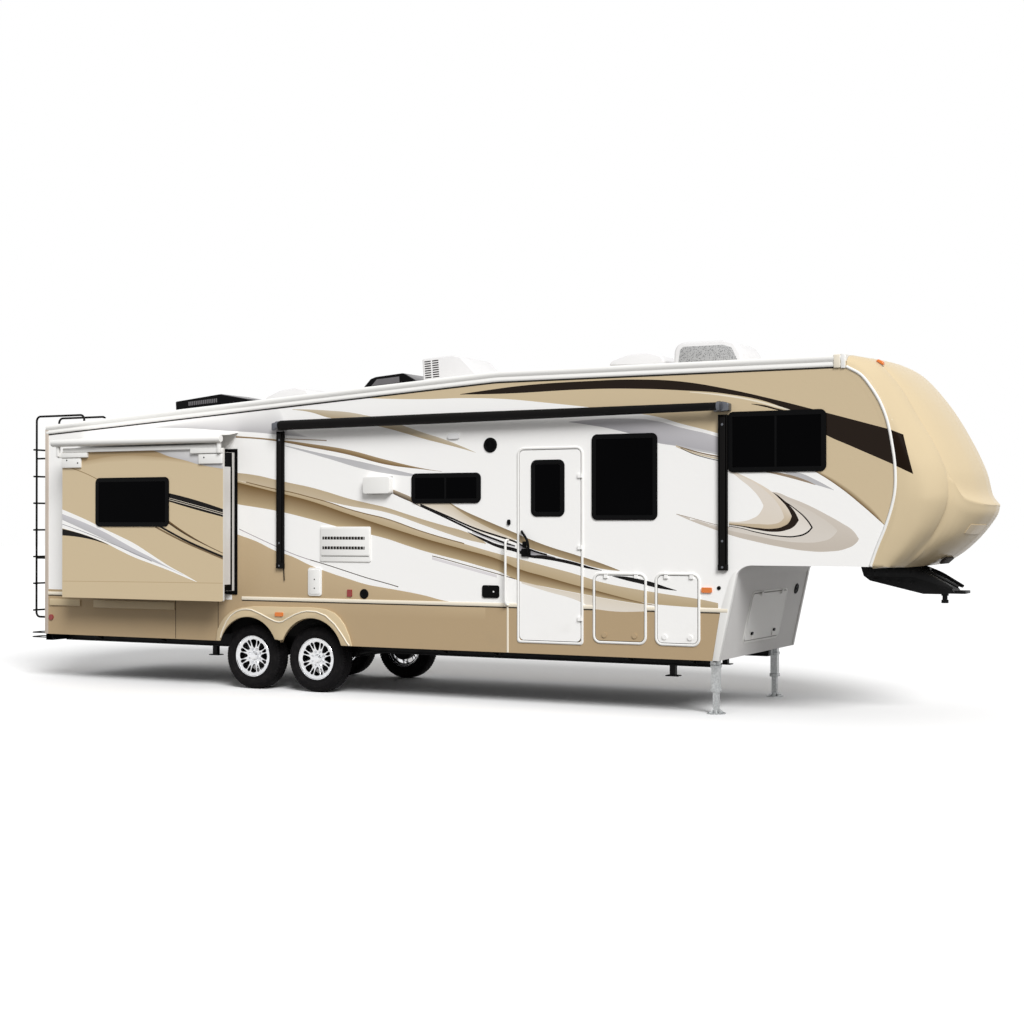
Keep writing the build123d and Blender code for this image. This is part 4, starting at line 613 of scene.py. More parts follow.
wall_lines = (  # colour, height of the line, places along it
    (SILVER, 0.02, ((2.95, 2.725), (3.1, 2.69), (3.25, 2.66), (3.4, 2.635))),
    (BROWN, 0.012, ((2.95, 2.722), (3.1, 2.675), (3.25, 2.635), (3.4, 2.605))),
    (rgb(206, 192, 168), 0.018, ((2.95, 2.718), (3.1, 2.66), (3.25, 2.617), (3.4, 2.585))),
    (INK, 0.008, ((3.0, 2.70), (3.1, 2.65), (3.25, 2.60), (3.4, 2.565))),
    # A dark line at the lower end of the painted shade under the roof rail, painted shade too.
    (rgb(150, 132, 112), 0.012, ((-1.85, 2.905), (-1.6, 2.892), (-1.28, 2.872))),
    (rgb(172, 164, 168), 0.01, ((-2.5, 1.87), (-2.0, 1.68), (-1.75, 1.59), (-1.5, 1.52))),
    (rgb(70, 60, 54), 0.01, ((-1.5, 1.52), (-1.25, 1.46), (-1.0, 1.395), (-0.75, 1.33), (-0.5, 1.275),
                             (-0.33, 1.235))),
    (rgb(224, 220, 222), 0.03, ((0.1, 1.555), (0.5, 1.462), (0.9, 1.37))),
    (rgb(90, 72, 52), 0.009, ((0.1, 1.58), (0.2, 1.56), (0.5, 1.49), (0.9, 1.398), (1.12, 1.345))),
    (INK, 0.02, ((-0.05, 2.142), (0.1, 2.085), (0.31, 2.006), (0.5, 1.93), (0.67, 1.87), (0.9, 1.804), (1.12, 1.74),
                 (1.3, 1.66), (1.5, 1.605))),
    (INK, 0.024, ((-0.05, 2.13), (0, 2.11), (0.27, 2.0), (0.5, 1.903), (0.67, 1.835), (0.9, 1.757), (1.12, 1.69))),
    (rgb(190, 188, 192), 0.012, ((0.6, 1.84), (0.75, 1.788), (0.9, 1.735), (1.12, 1.685))),
    (rgb(122, 98, 64), 0.011, ((-2.4, 2.415), (-2, 2.332), (-1.75, 2.288), (-1.5, 2.232), (-1.25, 2.172), (-1, 2.1),
                               (-0.75, 2.042), (-0.5, 1.99), (0, 1.84), (0.5, 1.718))),
    (rgb(150, 132, 112), 0.006, ((2.955, 2.03), (3.118, 1.99), (3.394, 1.92), (3.514, 1.9))),
)


def edge(place, points):
    """Height of a stripe's edge over the length, through its points."""
    start, end = points[0][0], points[-1][0]
    share = (place - start) / (end - start)
    return share.node("FloatCurve", {"points": [((x - start) / (end - start), z / 4) for x, z in points]},
                      {"Value": share}) * 4


def paint(colour, x, z, stripes, lines):
    """Lays stripes and then lines over a colour."""
    for low, high, upper, lower in stripes:
        top, foot = edge(x, upper), edge(x, lower)
        ends = (x > upper[0][0]) * (x < upper[-1][0])
        shade = low if low == high else ((z - foot) / (top - foot)).mix(low, high)
        colour = (ends * (z < top) * (z > foot)).mix(colour, shade)
    for shade, height, points in lines:
        middle = edge(x, points)
        ends = (x > points[0][0]) * (x < points[-1][0])
        colour = (ends * (z < middle + height / 2) * (z > middle - height / 2)).mix(colour, shade)
    return colour


belt_z = 1.045
for name, foot_z, foot in (("wall_paint", belt_z, DEEP_TAN), ("door_paint", 0, WHITE)):
    made, place = material(name)
    x, y, z = place.parts()
    colour = (z < foot_z).mix(WHITE, foot)
    if name == "wall_paint":
        colour = ((z > belt_z) * (z < belt_z + 0.017) * (x > -2.6)).mix(colour, rgb(226, 214, 190))
        colour = ((x < -4.87) * (z < belt_z + 0.07)).mix(colour, DEEP_TAN)
    colour = paint(colour, x, z, wall_stripes, wall_lines)
    grime = place.noise(3.5, 4).ramp(0.5, 0.9) * (1.2 - z).ramp(0, 0.9)
    finish(place, height=place.noise(30, 2), depth=0.0006, Base_Color=(grime * 0.25).mix(colour, rgb(150, 138, 118)),
           Roughness=0.3, Coat_Weight=0.06, Coat_Roughness=0.08, Specular_IOR_Level=0.1)
    if name == "wall_paint":
        wall_paint = made
    else:
        dress(made, "entry_door", "baggage_door_front")
dress(wall_paint, "sidewall_right", "sidewall_left", "skirt_right", "skirt_left", "baggage_door_rear",
      "baggage_door_left", "rear_wall")


# Slide-outs: glass-fibre boxes in tan with their own swept stripes and a band of painted shade under
# the topper, run out through the side walls.
# The fascia is bonded to the end of the box and laps the wall, and the box's sides are left off-white.
slide_crest = ((-4.9, 2.66), (-4.59, 2.68), (-4.0, 2.74), (-3.5, 2.72), (-3.0, 2.67), (-2.46, 2.6))
slide_stripes = (
    (TAN, rgb(186, 164, 130),
     slide_crest,
     ((-4.9, 2.6), (-4.59, 2.62), (-4.25, 2.655), (-4, 2.664), (-3.75, 2.673), (-3.5, 2.664), (-3.25, 2.655),
      (-3, 2.629), (-2.75, 2.593), (-2.46, 2.53))),
    # The darker band along the top of the fascia, under the topper's rail, is painted shade.
    (rgb(176, 152, 116), rgb(170, 146, 112),
     ((-4.9, 2.85), (-2.46, 2.85)),
     slide_crest),
    (SILVER, WHITE,
     ((-3.9, 2.84), (-3.5, 2.85), (-3, 2.86), (-2.46, 2.86)),
     ((-3.9, 2.83), (-3.75, 2.816), (-3.482, 2.789), (-3.25, 2.718), (-3.0, 2.664), (-2.827, 2.62), (-2.46, 2.56))),
    (WHITE, WHITE,
     ((-4.9, 2.11), (-4.75, 2.062), (-4.5, 1.977), (-4.25, 1.879), (-4.0, 1.789), (-3.75, 1.691), (-3.5, 1.566),
      (-3.25, 1.441), (-3.0, 1.334), (-2.839, 1.262)),
     ((-4.9, 1.879), (-4.25, 1.718), (-4.0, 1.62), (-3.75, 1.53), (-3.5, 1.459), (-3.25, 1.387), (-3.0, 1.307),
      (-2.839, 1.258))),
    (SILVER, rgb(204, 202, 206),
     ((-4.9, 2.055), (-4.25, 1.843), (-4.0, 1.736), (-3.75, 1.629), (-3.5, 1.53), (-3.25, 1.423), (-3.036, 1.343)),
     ((-4.9, 1.984), (-4.25, 1.754), (-3.75, 1.566), (-3.393, 1.459), (-3.036, 1.338))),
    (INK, INK,
     ((-4.9, 1.872), (-4.5, 1.789), (-4.161, 1.684)),
     ((-4.9, 1.79), (-4.5, 1.754), (-4.161, 1.68))),
    (INK, INK,
     ((-3.26, 2.291), (-2.9, 2.215), (-2.46, 2.098)),
     ((-3.26, 2.193), (-2.9, 2.105), (-2.46, 2.008))),
    (INK, BROWN,
     ((-3.25, 1.968), (-2.982, 1.82), (-2.7, 1.69), (-2.46, 1.597)),
     ((-3.25, 1.93), (-2.982, 1.792), (-2.7, 1.678), (-2.46, 1.588))),
)
slide_lines = (
    (rgb(120, 100, 74), 0.022, ((-3.45, 1.895), (-3.2, 1.79), (-3.0, 1.712), (-2.7, 1.61), (-2.46, 1.53))),
    (INK, 0.026, ((-3.42, 1.918), (-3.2, 1.82), (-3.0, 1.737), (-2.7, 1.63), (-2.46, 1.552))),
    (rgb(214, 204, 188), 0.007, ((-3.26, 2.215), (-2.9, 2.135), (-2.46, 2.035))),
    (rgb(214, 204, 188), 0.006, ((-3.26, 2.235), (-2.9, 2.155), (-2.46, 2.055))),
    (rgb(150, 126, 92), 0.01, ((-4.732, 2.602), (-4.5, 2.53), (-4.321, 2.459))),
    (rgb(188, 166, 132), 0.008, ((-4.9, 1.235), (-3.6, 1.245), (-2.46, 1.25))),
    (rgb(150, 148, 154), 0.008, ((-4.9, 1.93), (-4.4, 1.79), (-4.0, 1.66), (-3.5, 1.49))),
)
slide_paint, place = material("slide_paint")
x, y, z = place.parts()
fascia_y = 1.559
outer = (y * y) > fascia_y * fascia_y
colour = paint(TAN, x, z, slide_stripes, slide_lines)
finish(place, height=place.noise(30, 2), depth=0.0006, Base_Color=outer.mix(rgb(214, 211, 206), colour),
       Roughness=0.3, Coat_Weight=0.06, Coat_Roughness=0.08, Specular_IOR_Level=0.1)
dress(slide_paint, "slide_box_right", "slide_box_left")


# Fenders: pressed glass-fibre arches in tan gelcoat, with a cream bead that dips between the wheels, and
# flat covers of the same moulding under the slide-out.
tan_gelcoat = plain("tan_gelcoat", [(206, 186, 150), (208, 189, 156)], 0.3, (12, 2), 0.001, patches=2,
                    Coat_Weight=0.08, Coat_Roughness=0.06, Specular_IOR_Level=0.12)
cream = plain("belt_cream", [(234, 225, 207)], 0.35, (200, 2), 0.0002, Specular_IOR_Level=0.3)


def across(side, low, high):
    """Two places on one side of the trailer, in order from right to left."""
    return sorted((side * low, side * high))


def arc(x, z, radius, start, end, count):
    """Points round an arc, in degrees from the front."""
    turns = [math.radians(start + (end - start) * k / (count - 1)) for k in range(count)]
    return [(x + radius * math.cos(t), z + radius * math.sin(t)) for t in turns]


fender_outline = ([(-0.926, 0.56), (-0.963, 0.674), (-1.024, 0.797), (-1.09, 0.874), (-1.161, 0.928), (-1.273, 0.967),
                   (-1.4, 0.98), (-1.525, 0.985), (-1.779, 0.98), (-2.05, 0.98), (-2.28, 0.977), (-2.46, 0.955),
                   (-2.55, 0.928), (-2.62, 0.895), (-2.69, 0.84), (-2.735, 0.79), (-2.775, 0.73), (-2.8, 0.674),
                   (-2.815, 0.56)]
                  + arc(-2.36, 0.43, 0.42, 162, 24, 24) + [(-1.93, 0.597), (-1.905, 0.592), (-1.885, 0.597)]
                  + arc(-1.475, 0.433, 0.425, 157, 17.4, 24))
fender_bead = ((-2.745, 0.6), (-2.73, 0.66), (-2.7, 0.72), (-2.66, 0.795), (-2.6, 0.86), (-2.52, 0.91), (-2.44, 0.935),
               (-2.37, 0.941), (-2.3, 0.935), (-2.17, 0.89), (-2.05, 0.84), (-1.97, 0.812), (-1.908, 0.803),
               (-1.86, 0.813), (-1.8, 0.845), (-1.702, 0.893), (-1.6, 0.927), (-1.524, 0.94), (-1.4, 0.935),
               (-1.273, 0.894), (-1.15, 0.8), (-1.074, 0.712), (-1.025, 0.65), (-0.99, 0.6), (-0.955, 0.565))
wall_y, skin_y = 1.22, 1.2205  # the walls' outer face, and where things fixed to it begin
covers, arch_beads = Shape(), Shape()
for side, name in ((-1, "right"), (1, "left")):
    arch = Shape()
    arch.plate(fender_outline, side * skin_y, side * 1.2455, soft=0.007, steps=3)
    arch = arch.piece("arch_" + name, tan_gelcoat, "cap_gelcoat", sharp=50)
    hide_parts("fender_" + name)
    arch_beads.rod([(x, side * 1.246, z) for x, z in fender_bead], 0.009, 10)
    y0, y1 = across(side, skin_y, 1.24)
    for x0, x1, z0 in ((-5.4, -4.9, 0.915), (-4.689, -3.437, 0.905)):
        covers.block((x0, y0, z0), (x1, y1, 1.0), 0.008, 3)
covers.piece("skirt_covers", tan_gelcoat, "cap_gelcoat")
arch_beads.piece("arch_beads", cream, "white_moulding")


# Front cap: one moulded shell in tan gelcoat. Its nose ends in a flared lip over a hollowed chin, and
# a pillar runs down each side of the nose behind a groove.
def flowing(points, count):
    """Points along a smooth curve through the given ones."""
    points = [Vector(p) for p in points]
    ends = [points[0] * 2 - points[1]] + points + [points[-1] * 2 - points[-2]]
    made = []
    for k in range(count):
        t = k / (count - 1) * (len(points) - 1)
        i = min(int(t), len(points) - 2)
        t -= i
        a, b, c, d = ends[i:i + 4]
        made.append(0.5 * (2 * b + (c - a) * t + (2 * a - 5 * b + 4 * c - d) * t * t
                           + (3 * b - 3 * c + d - a) * t ** 3))
    return made


cap_stations = (  # distance from the middle, then X and Z from the roof down to the foot; lip at the eighth
    (0.0, ((4.706, 3.597), (4.93, 3.553), (5.13, 3.42), (5.385, 3.12), (5.6, 2.77), (5.745, 2.47),
           (5.808, 2.23), (5.886, 2.118), (5.845, 2.0), (5.67, 1.78), (5.43, 1.585), (5.2, 1.507))),
    (0.35, ((4.706, 3.595), (4.925, 3.548), (5.12, 3.412), (5.37, 3.112), (5.58, 2.762), (5.718, 2.462),
            (5.778, 2.228), (5.852, 2.122), (5.812, 2.0), (5.64, 1.78), (5.41, 1.588), (5.195, 1.507))),
    (0.6, ((4.706, 3.59), (4.915, 3.54), (5.1, 3.4), (5.335, 3.098), (5.53, 2.748), (5.655, 2.458),
           (5.707, 2.25), (5.768, 2.15), (5.732, 2.015), (5.6, 1.8), (5.375, 1.61), (5.18, 1.508))),
    (0.72, ((4.706, 3.586), (4.905, 3.533), (5.085, 3.388), (5.305, 3.083), (5.49, 2.738), (5.602, 2.462),
            (5.645, 2.29), (5.7, 2.2), (5.672, 2.05), (5.56, 1.82), (5.35, 1.62), (5.171, 1.508))),
    (0.79, ((4.706, 3.583), (4.9, 3.527), (5.07, 3.376), (5.275, 3.07), (5.45, 2.735), (5.555, 2.482),
            (5.588, 2.39), (5.622, 2.345), (5.625, 2.12), (5.53, 1.86), (5.33, 1.63), (5.171, 1.509))),
    (0.84, ((4.706, 3.581), (4.895, 3.522), (5.02, 3.4), (5.17, 3.2), (5.335, 2.905), (5.46, 2.69),
            (5.545, 2.5), (5.583, 2.335), (5.583, 2.13), (5.5, 1.92), (5.335, 1.65), (5.171, 1.51))),
    (0.9, ((4.706, 3.579), (4.87, 3.535), (5.0, 3.43), (5.165, 3.21), (5.33, 2.93), (5.46, 2.71),
           (5.55, 2.5), (5.592, 2.315), (5.585, 2.135), (5.49, 1.905), (5.31, 1.665), (5.165, 1.512))),
    (1.02, ((4.706, 3.572), (4.86, 3.52), (4.99, 3.405), (5.145, 3.175), (5.29, 2.925), (5.418, 2.685),
            (5.503, 2.48), (5.542, 2.28), (5.533, 2.12), (5.44, 1.895), (5.285, 1.675), (5.14, 1.515))),
    (1.13, ((4.706, 3.552), (4.866, 3.46), (4.983, 3.33), (5.11, 3.108), (5.228, 2.873), (5.333, 2.647),
            (5.41, 2.447), (5.447, 2.235), (5.432, 2.1), (5.348, 1.88), (5.233, 1.685), (5.105, 1.519))),
    (1.19, ((4.706, 3.51), (4.862, 3.412), (4.968, 3.287), (5.078, 3.097), (5.172, 2.892), (5.252, 2.67),
            (5.304, 2.472), (5.322, 2.25), (5.3, 2.1), (5.228, 1.886), (5.14, 1.69), (5.05, 1.525))),
    (1.2212, ((4.7065, 3.446), (4.846, 3.363), (4.95, 3.234), (5.038, 3.085), (5.104, 2.908), (5.166, 2.689),
              (5.201, 2.485), (5.208, 2.281), (5.191, 2.107), (5.142, 1.9), (5.06, 1.7), (4.972, 1.53))),
    (1.2216, ((4.7065, 3.446), (4.846, 3.363), (4.95, 3.234), (5.038, 3.085), (5.104, 2.908), (5.148, 2.689),
              (5.175, 2.485), (5.177, 2.281), (5.147, 2.107), (5.082, 1.9), (5.0, 1.7), (4.94, 1.53))),
)
rows = []
for distance, station in cap_stations:
    points = [(x, 0, z) for x, z in station]
    smooth = flowing(points, 89)
    creased = flowing(points[:8], 57) + flowing(points[7:], 33)[1:]
    crease = min(max((0.89 - distance) / 0.1, 0), 1)
    row = [a.lerp(b, crease) for a, b in zip(smooth, creased)]
    foot_x, foot_z = (4.957, 1.504) if distance < 1.2 else (4.94, 1.53)
    rows.append([Vector((p.x, distance, p.z)) for p in row] + [Vector((foot_x, distance, foot_z))])
cap_half, nose_x = 1.2216, 5.887
columns = []
for k in range(len(rows[0])):
    line = flowing([row[k] for row in rows], 89)
    for p in line:
        p.y = min(max(p.y, 0), cap_half)
        p.x = min(p.x, nose_x)
    columns.append(line)
cap = Shape()
both = [[Vector((p.x, -p.y, p.z)) for p in reversed(line[1:])] + line for line in columns]
cap.grid(both, near=5e-4)
cap_paint, place = material("cap_paint")
x, y, z = place.parts()
block = ((x < (2.781 - z) * 0.2566 + 5.242) * (z < 2.843 - (x - 5.097) * 0.4276)
         * (z > 2.497 - (x - 5.155) * 0.511) * (y * y > 1.06 * 1.06))
finish(place, height=place.noise(9, 2), depth=0.001, Base_Color=block.mix(rgb(207, 189, 156), rgb(26, 16, 8)),
       Roughness=0.28, Coat_Weight=0.03, Coat_Roughness=0.06, Specular_IOR_Level=0.03)
cap = cap.piece("cap_shell", cap_paint, "cap_gelcoat", sharp=50)
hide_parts("front_cap")
chin = Shape()
sink = Vector((-0.012, 0, 0.009))
patch = [[p + Vector((0.004, 0, -0.003)) for p in line[76:88]] for line in both[67:71]]
patch = [[p + sink for p in patch[0]]] + patch + [[p + sink for p in patch[-1]]]
chin.grid([[line[0] + sink] + line + [line[-1] + sink] for line in patch])
chin.piece("chin_plate", tan_gelcoat, "cap_gelcoat")
amber = plain("amber_lens", [(222, 116, 16)], 0.15, (300, 1), 0.0004, Coat_Weight=0.4)
dress(amber, "lamps_amber")
markers = Shape()
turn = Matrix.Translation((4.94, -0.86, 3.497)) @ Matrix.Rotation(math.radians(30), 4, "Y")
markers.plate([(-0.045, 0), (0.045, 0), (0.03, 0.03), (-0.03, 0.03)], -0.028, 0.028, soft=0.008, steps=3, turn=turn)
markers.piece("cap_markers", amber, "amber_lens")
# A near-black laid as painted shade in gaps, slots and grooves.
gap_shade_black = plain("gap_shade_black", [(30, 26, 23)], 0.7, (100, 2), 0.0002, Specular_IOR_Level=0.1)
clear = plain("clear_lens", [(232, 232, 232)], 0.1, (300, 1), 0.0003, Coat_Weight=0.4)
# The dark slot round the docking lamp is painted shade in its recess.
slot, lens = Shape(), Shape()
turn = Matrix.Translation((5.425, -0.18, 1.572)) @ Matrix.Rotation(math.radians(-42), 4, "Y")
slot.block((-0.04, -0.18, -0.02), (0.04, 0.18, 0.006), 0.006, 3, turn=turn)
lens.block((-0.026, -0.15, -0.01), (0.026, 0.15, 0.012), 0.008, 3, turn=turn)
slot.piece("docking_slot", gap_shade_black, "black_seal")
lens.piece("docking_lamp", clear, "white_moulding")


# Mouldings: white extruded rails along the roof's edge with a roll on top, a thin bead over the cap
# joint, a cream half-round at the belt and a grey-beige angle up each rear corner.
white_plastic = plain("white_plastic", [(238, 237, 234)], 0.42, (400, 2), 0.0003, Specular_IOR_Level=0.3)
corner_beige = plain("corner_beige", [(196, 183, 170)], 0.4, (200, 2), 0.0002)


rear_x, knee_x, rear_roof_z, front_roof_z = -5.475, 0.89, 3.158, 3.562


def roof_z(x):
    """Height of the roof's edge, which rises from the rear to a knee and runs level from there."""
    return min(rear_roof_z + (front_roof_z - rear_roof_z) * (x - rear_x) / (knee_x - rear_x), front_roof_z)


rail_profile = [(0, -0.114), (0.007, -0.112), (0.012, -0.104), (0.013, -0.09), (0.008, -0.078), (0.006, -0.066),
                (0.01, -0.058), (0.017, -0.044), (0.019, -0.028), (0.015, -0.011), (0.007, -0.002), (0, 0)]
rail_shade = [(0, -0.007), (0.004, -0.005), (0.004, 0.005), (0, 0.007)]
belt_profile = [(0, -0.021), (0.006, -0.018), (0.009, -0.009), (0.0095, 0), (0.009, 0.009), (0.006, 0.018), (0, 0.021)]
belt_shade = [(0, -0.005), (0.0025, -0.004), (0.0025, 0.004), (0, 0.005)]
upright_profile = [(0, -0.012), (0.004, -0.009), (0.006, 0), (0.004, 0.009), (0, 0.012)]
bead_profile = [(0.012 * math.cos(a * math.pi / 6), 0.0145 * math.sin(a * math.pi / 6)) for a in range(12)]
belt_runs = {-1: [(-5.43, -4.9), (-2.455, 1.146), (1.921, 2.029), (2.633, 2.722), (3.213, 3.5)],
             1: [(-5.43, -4.9), (-2.455, 2.722), (3.213, 3.5)]}
joint = cap_stations[-1][1]
# The dark strips under the roof rails and under the belt beads, and the two upright dark lines on the skirt, are
# painted shade.
rails, shadow, beads, corners, belts, fills = (Shape() for _ in range(6))
for side in (-1, 1):
    y, outward = side * wall_y, (0, side, 0)
    line = [(x, y, roof_z(x)) for x in (-5.47, 0.84, 0.94, 4.66)]
    rails.sweep(line, [(a, side * b) for a, b in rail_profile], side=outward)
    shadow.sweep([(x, y, z - 0.121) for x, y, z in line], rail_shade, side=outward)
    rails.block((4.655, y - 0.018, 3.43), (4.7, y + 0.018, 3.573), 0.006, 3)
    fills.plate([joint[0], (4.78, 3.408), *joint[1:5], (5.06, 2.88), (4.97, 3.085), (4.86, 3.234), (4.75, 3.363),
                 (4.7, 3.4)], side * 1.19, side * skin_y, soft=0)
    belts.block((4.585, y - 0.02, 3.436), (4.65, y + 0.02, 3.566), 0.006, 3)
    beads.sweep(flowing([(x, side * 1.2213, z) for x, z in joint], 72), bead_profile, side=outward)
    for x0, x1, inner_y in ((-5.475, -5.43, 1.214), (-5.483, -5.472, 1.17)):
        y0, y1 = across(side, inner_y, 1.228)
        corners.block((x0, y0, 0.56), (x1, y1, rear_roof_z - 0.05), 0.003)
    for x0, x1 in belt_runs[side]:
        belts.sweep([(x0, y, 1.066), (x1, y, 1.066)], belt_profile, side=outward)
        shadow.sweep([(x0, y, 1.04), (x1, y, 1.04)], belt_shade, side=outward)
    belts.sweep([(1.031, y, 0.562), (1.031, y, belt_z)], upright_profile, side=outward)
    for x in (-3.429, -2.8):
        shadow.block((x - 0.003, side * skin_y - 0.001, 0.565), (x + 0.003, side * skin_y + 0.001, 1.035), 0)
rails = rails.piece("roof_rails", white_plastic, "white_moulding")
beads = beads.piece("cap_beads", white_plastic, "white_moulding")
corners = corners.piece("rear_corners", corner_beige, "white_moulding")
belts = belts.piece("belt_beads", cream, "white_moulding")
shadow = shadow.piece("moulding_shade_lines", gap_shade_black, "black_seal")
fills.piece("cap_corner_fills", wall_paint, "body_paint")
for strip in (rails, beads, corners, belts):
    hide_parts("body_mouldings")


# Roof: a white rubber membrane with a dusty film over it.
# It is glued to the boards in one sheet and clamped along both edges by the rails.
membrane = plain("roof_membrane", [(228, 226, 221), (238, 236, 232)], 0.6, (40, 4), 0.001, patches=1.5, spread=4)
dress(membrane, "roof_panel")


# Front bulkhead: a leaning white panel with a rim along the walls, a round socket and the compartment
# door with its two latches.
panel_grey = plain("bulkhead_panel", [(204, 202, 200), (214, 212, 210)], 0.45, (60, 3), 0.0008,
                   Specular_IOR_Level=0.25)
dress(panel_grey, "front_bulkhead")
dress(white_plastic, "compartment_door")
black_plastic = plain("black_plastic", [(8, 8, 9)], 0.42, (300, 2), 0.0003, Specular_IOR_Level=0.05)
lean = math.radians(12.3)


def bulkhead_x(z):
    """Where the leaning panel stands at a height."""
    return 3.4 + (z - 0.583) * math.tan(lean)


rims = Shape()
for side in (-1, 1):
    rims.plate([(3.34, 0.561), (3.427, 1.074), (3.523, 1.381), (3.556, 1.436), (3.6, 1.474), (3.598, 1.45),
                (3.584, 1.381), (3.517, 1.074), (3.405, 0.561)], side * 1.169, side * 1.2245, soft=0.003)
rims.piece("bulkhead_rims", white_plastic, "white_moulding")
socket = Shape()
outward = (math.cos(lean), 0, -math.sin(lean))
socket.lathe([(0.06, -0.004), (0.06, 0.006), (0.054, 0.012), (0.042, 0.014), (0.04, 0.008), (0.012, 0.008),
              (0.01, 0.018), (0, 0.018)], (bulkhead_x(1.215), 0.889, 1.215), outward, 32)
socket.piece("bulkhead_socket", black_plastic, "black_plastic")
latches = Shape()
for y in (-0.36, 0.36):
    turn = Matrix.Translation((bulkhead_x(0.79), y, 0.79)) @ Matrix.Rotation(lean, 4, "Y")
    latches.block((-0.01, -0.03, -0.016), (0.02, 0.03, 0.016), 0.004, 3, turn=turn)
latches.piece("compartment_latches", black_plastic, "black_plastic", body="compartment_door")


# Door frames: white extruded frames with rounded corners, screwed round the entry door and the baggage
# doors, with a half-round crown and a step on the inside.
def rounded(x0, x1, z0, z1, radius, foot=None, steps=8):
    """Outline of a rectangle with rounded corners; foot is the lower corners' own radius."""
    foot = radius if foot is None else foot
    made = []
    for cx, cz, r, start in ((x1 - radius, z1 - radius, radius, 0), (x0 + radius, z1 - radius, radius, 90),
                             (x0 + foot, z0 + foot, foot, 180), (x1 - foot, z0 + foot, foot, 270)):
        made += arc(cx, cz, r, start, start + 90, steps)
    return made


frames = Shape()
frame_rows = ((0, -0.002), (0, 0.007), (0.006, 0.012), (0.013, 0.0135), (0.02, 0.012), (0.0255, 0.0085), (0.0255, 0))
seal_rows = ((0, -0.004), (0, 0.003), (0.005, 0.006), (0.018, 0.006), (0.022, 0.003), (0.022, -0.004))
for side, x0, x1, z0, z1 in ((-1, 1.146, 1.921, 0.671, 2.741), (-1, 2.029, 2.633, 0.695, 1.43),
                             (-1, 2.722, 3.213, 0.695, 1.436), (1, 2.722, 3.213, 0.695, 1.436)):
    loops = []
    for inset, proud in frame_rows:
        outline = rounded(x0 + inset, x1 - inset, z0 + inset, z1 - inset, 0.082 - inset,
                          0.082 - inset if z1 < 2 else 0.034 - inset * 0.2)
        loops.append([(x, side * (wall_y + proud), z) for x, z in outline])
    frames.grid(loops + loops[:1], around=True)
turn = Matrix.Translation((bulkhead_x(0.964), 0, 0.964)) @ Matrix.Rotation(lean, 4, "Y")
loops = []
for inset, proud in seal_rows:
    outline = rounded(-0.59 + inset, 0.59 - inset, -0.28 + inset, 0.28 - inset, 0.08 - inset)
    loops.append([turn @ Vector((proud, y, z)) for y, z in outline])
frames.grid(loops + loops[:1], around=True)
frames = frames.piece("door_frames", white_plastic, "white_moulding")
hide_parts("opening_frames")


# Windows: black frames round near-black tinted glass, sliding panes with a bar at their meeting edge.
# The frames are clamped through the wall from inside. The entry door's window ring, latch and handle, an
# arched bar of black plastic, belong with them.
glass, place = material("window_tint")
finish(place, Base_Color=place.noise(2).mix(rgb(2, 2, 3), rgb(4, 4, 5)), Roughness=0.05, Specular_IOR_Level=0.02)
dress(black_plastic, "window_frames", "slide_trim_right", "slide_trim_left", "slide_seals")
dress(glass, "window_glass", "door_glass", "slide_glass_right", "slide_glass_left")
bars = Shape()
for side in (-1, 1):
    for x, z0, z1 in ((0.27, 2.185, 2.452), (4.0, 2.473, 3.014)):
        bars.block((x - 0.011, side * 1.2265 - 0.003, z0), (x + 0.011, side * 1.2265 + 0.003, z1), 0.002)
bars.piece("window_bars", black_plastic, "black_plastic")
trim = Shape()
loops = []
for inset, out in ((0, 1.2275), (0, 1.236), (0.008, 1.242), (0.03, 1.243), (0.042, 1.24), (0.046, 1.236),
                   (0.05, 1.2365), (0.05, 1.2275)):
    outline = rounded(1.315 + inset, 1.707 - inset, 2.007 + inset, 2.606 - inset, 0.066 - inset)
    loops.append([(x, -out, z) for x, z in outline])
trim.grid(loops + loops[:1], around=True)
trim.rod([(1.205, -1.232, 1.85), (1.222, -1.262, 1.842), (1.262, -1.286, 1.81), (1.3, -1.29, 1.755),
          (1.312, -1.29, 1.693), (1.309, -1.284, 1.64), (1.304, -1.25, 1.622)], 0.0135, 16, bend=0.03)
trim.plate(rounded(1.205, 1.31, 1.583, 1.668, 0.014), -1.2275, -1.25, soft=0.005, steps=3)
trim.plate(rounded(1.215, 1.262, 1.68, 1.745, 0.01), -1.2275, -1.238, soft=0.003)
trim.lathe([(0.011, 0), (0.011, 0.004), (0.006, 0.006), (0, 0.006)], (1.238, -1.2375, 1.712), (0, -1, 0), 16)
trim = trim.piece("door_handle", black_plastic, "black_plastic", body="entry_door")
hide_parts("door_fittings")


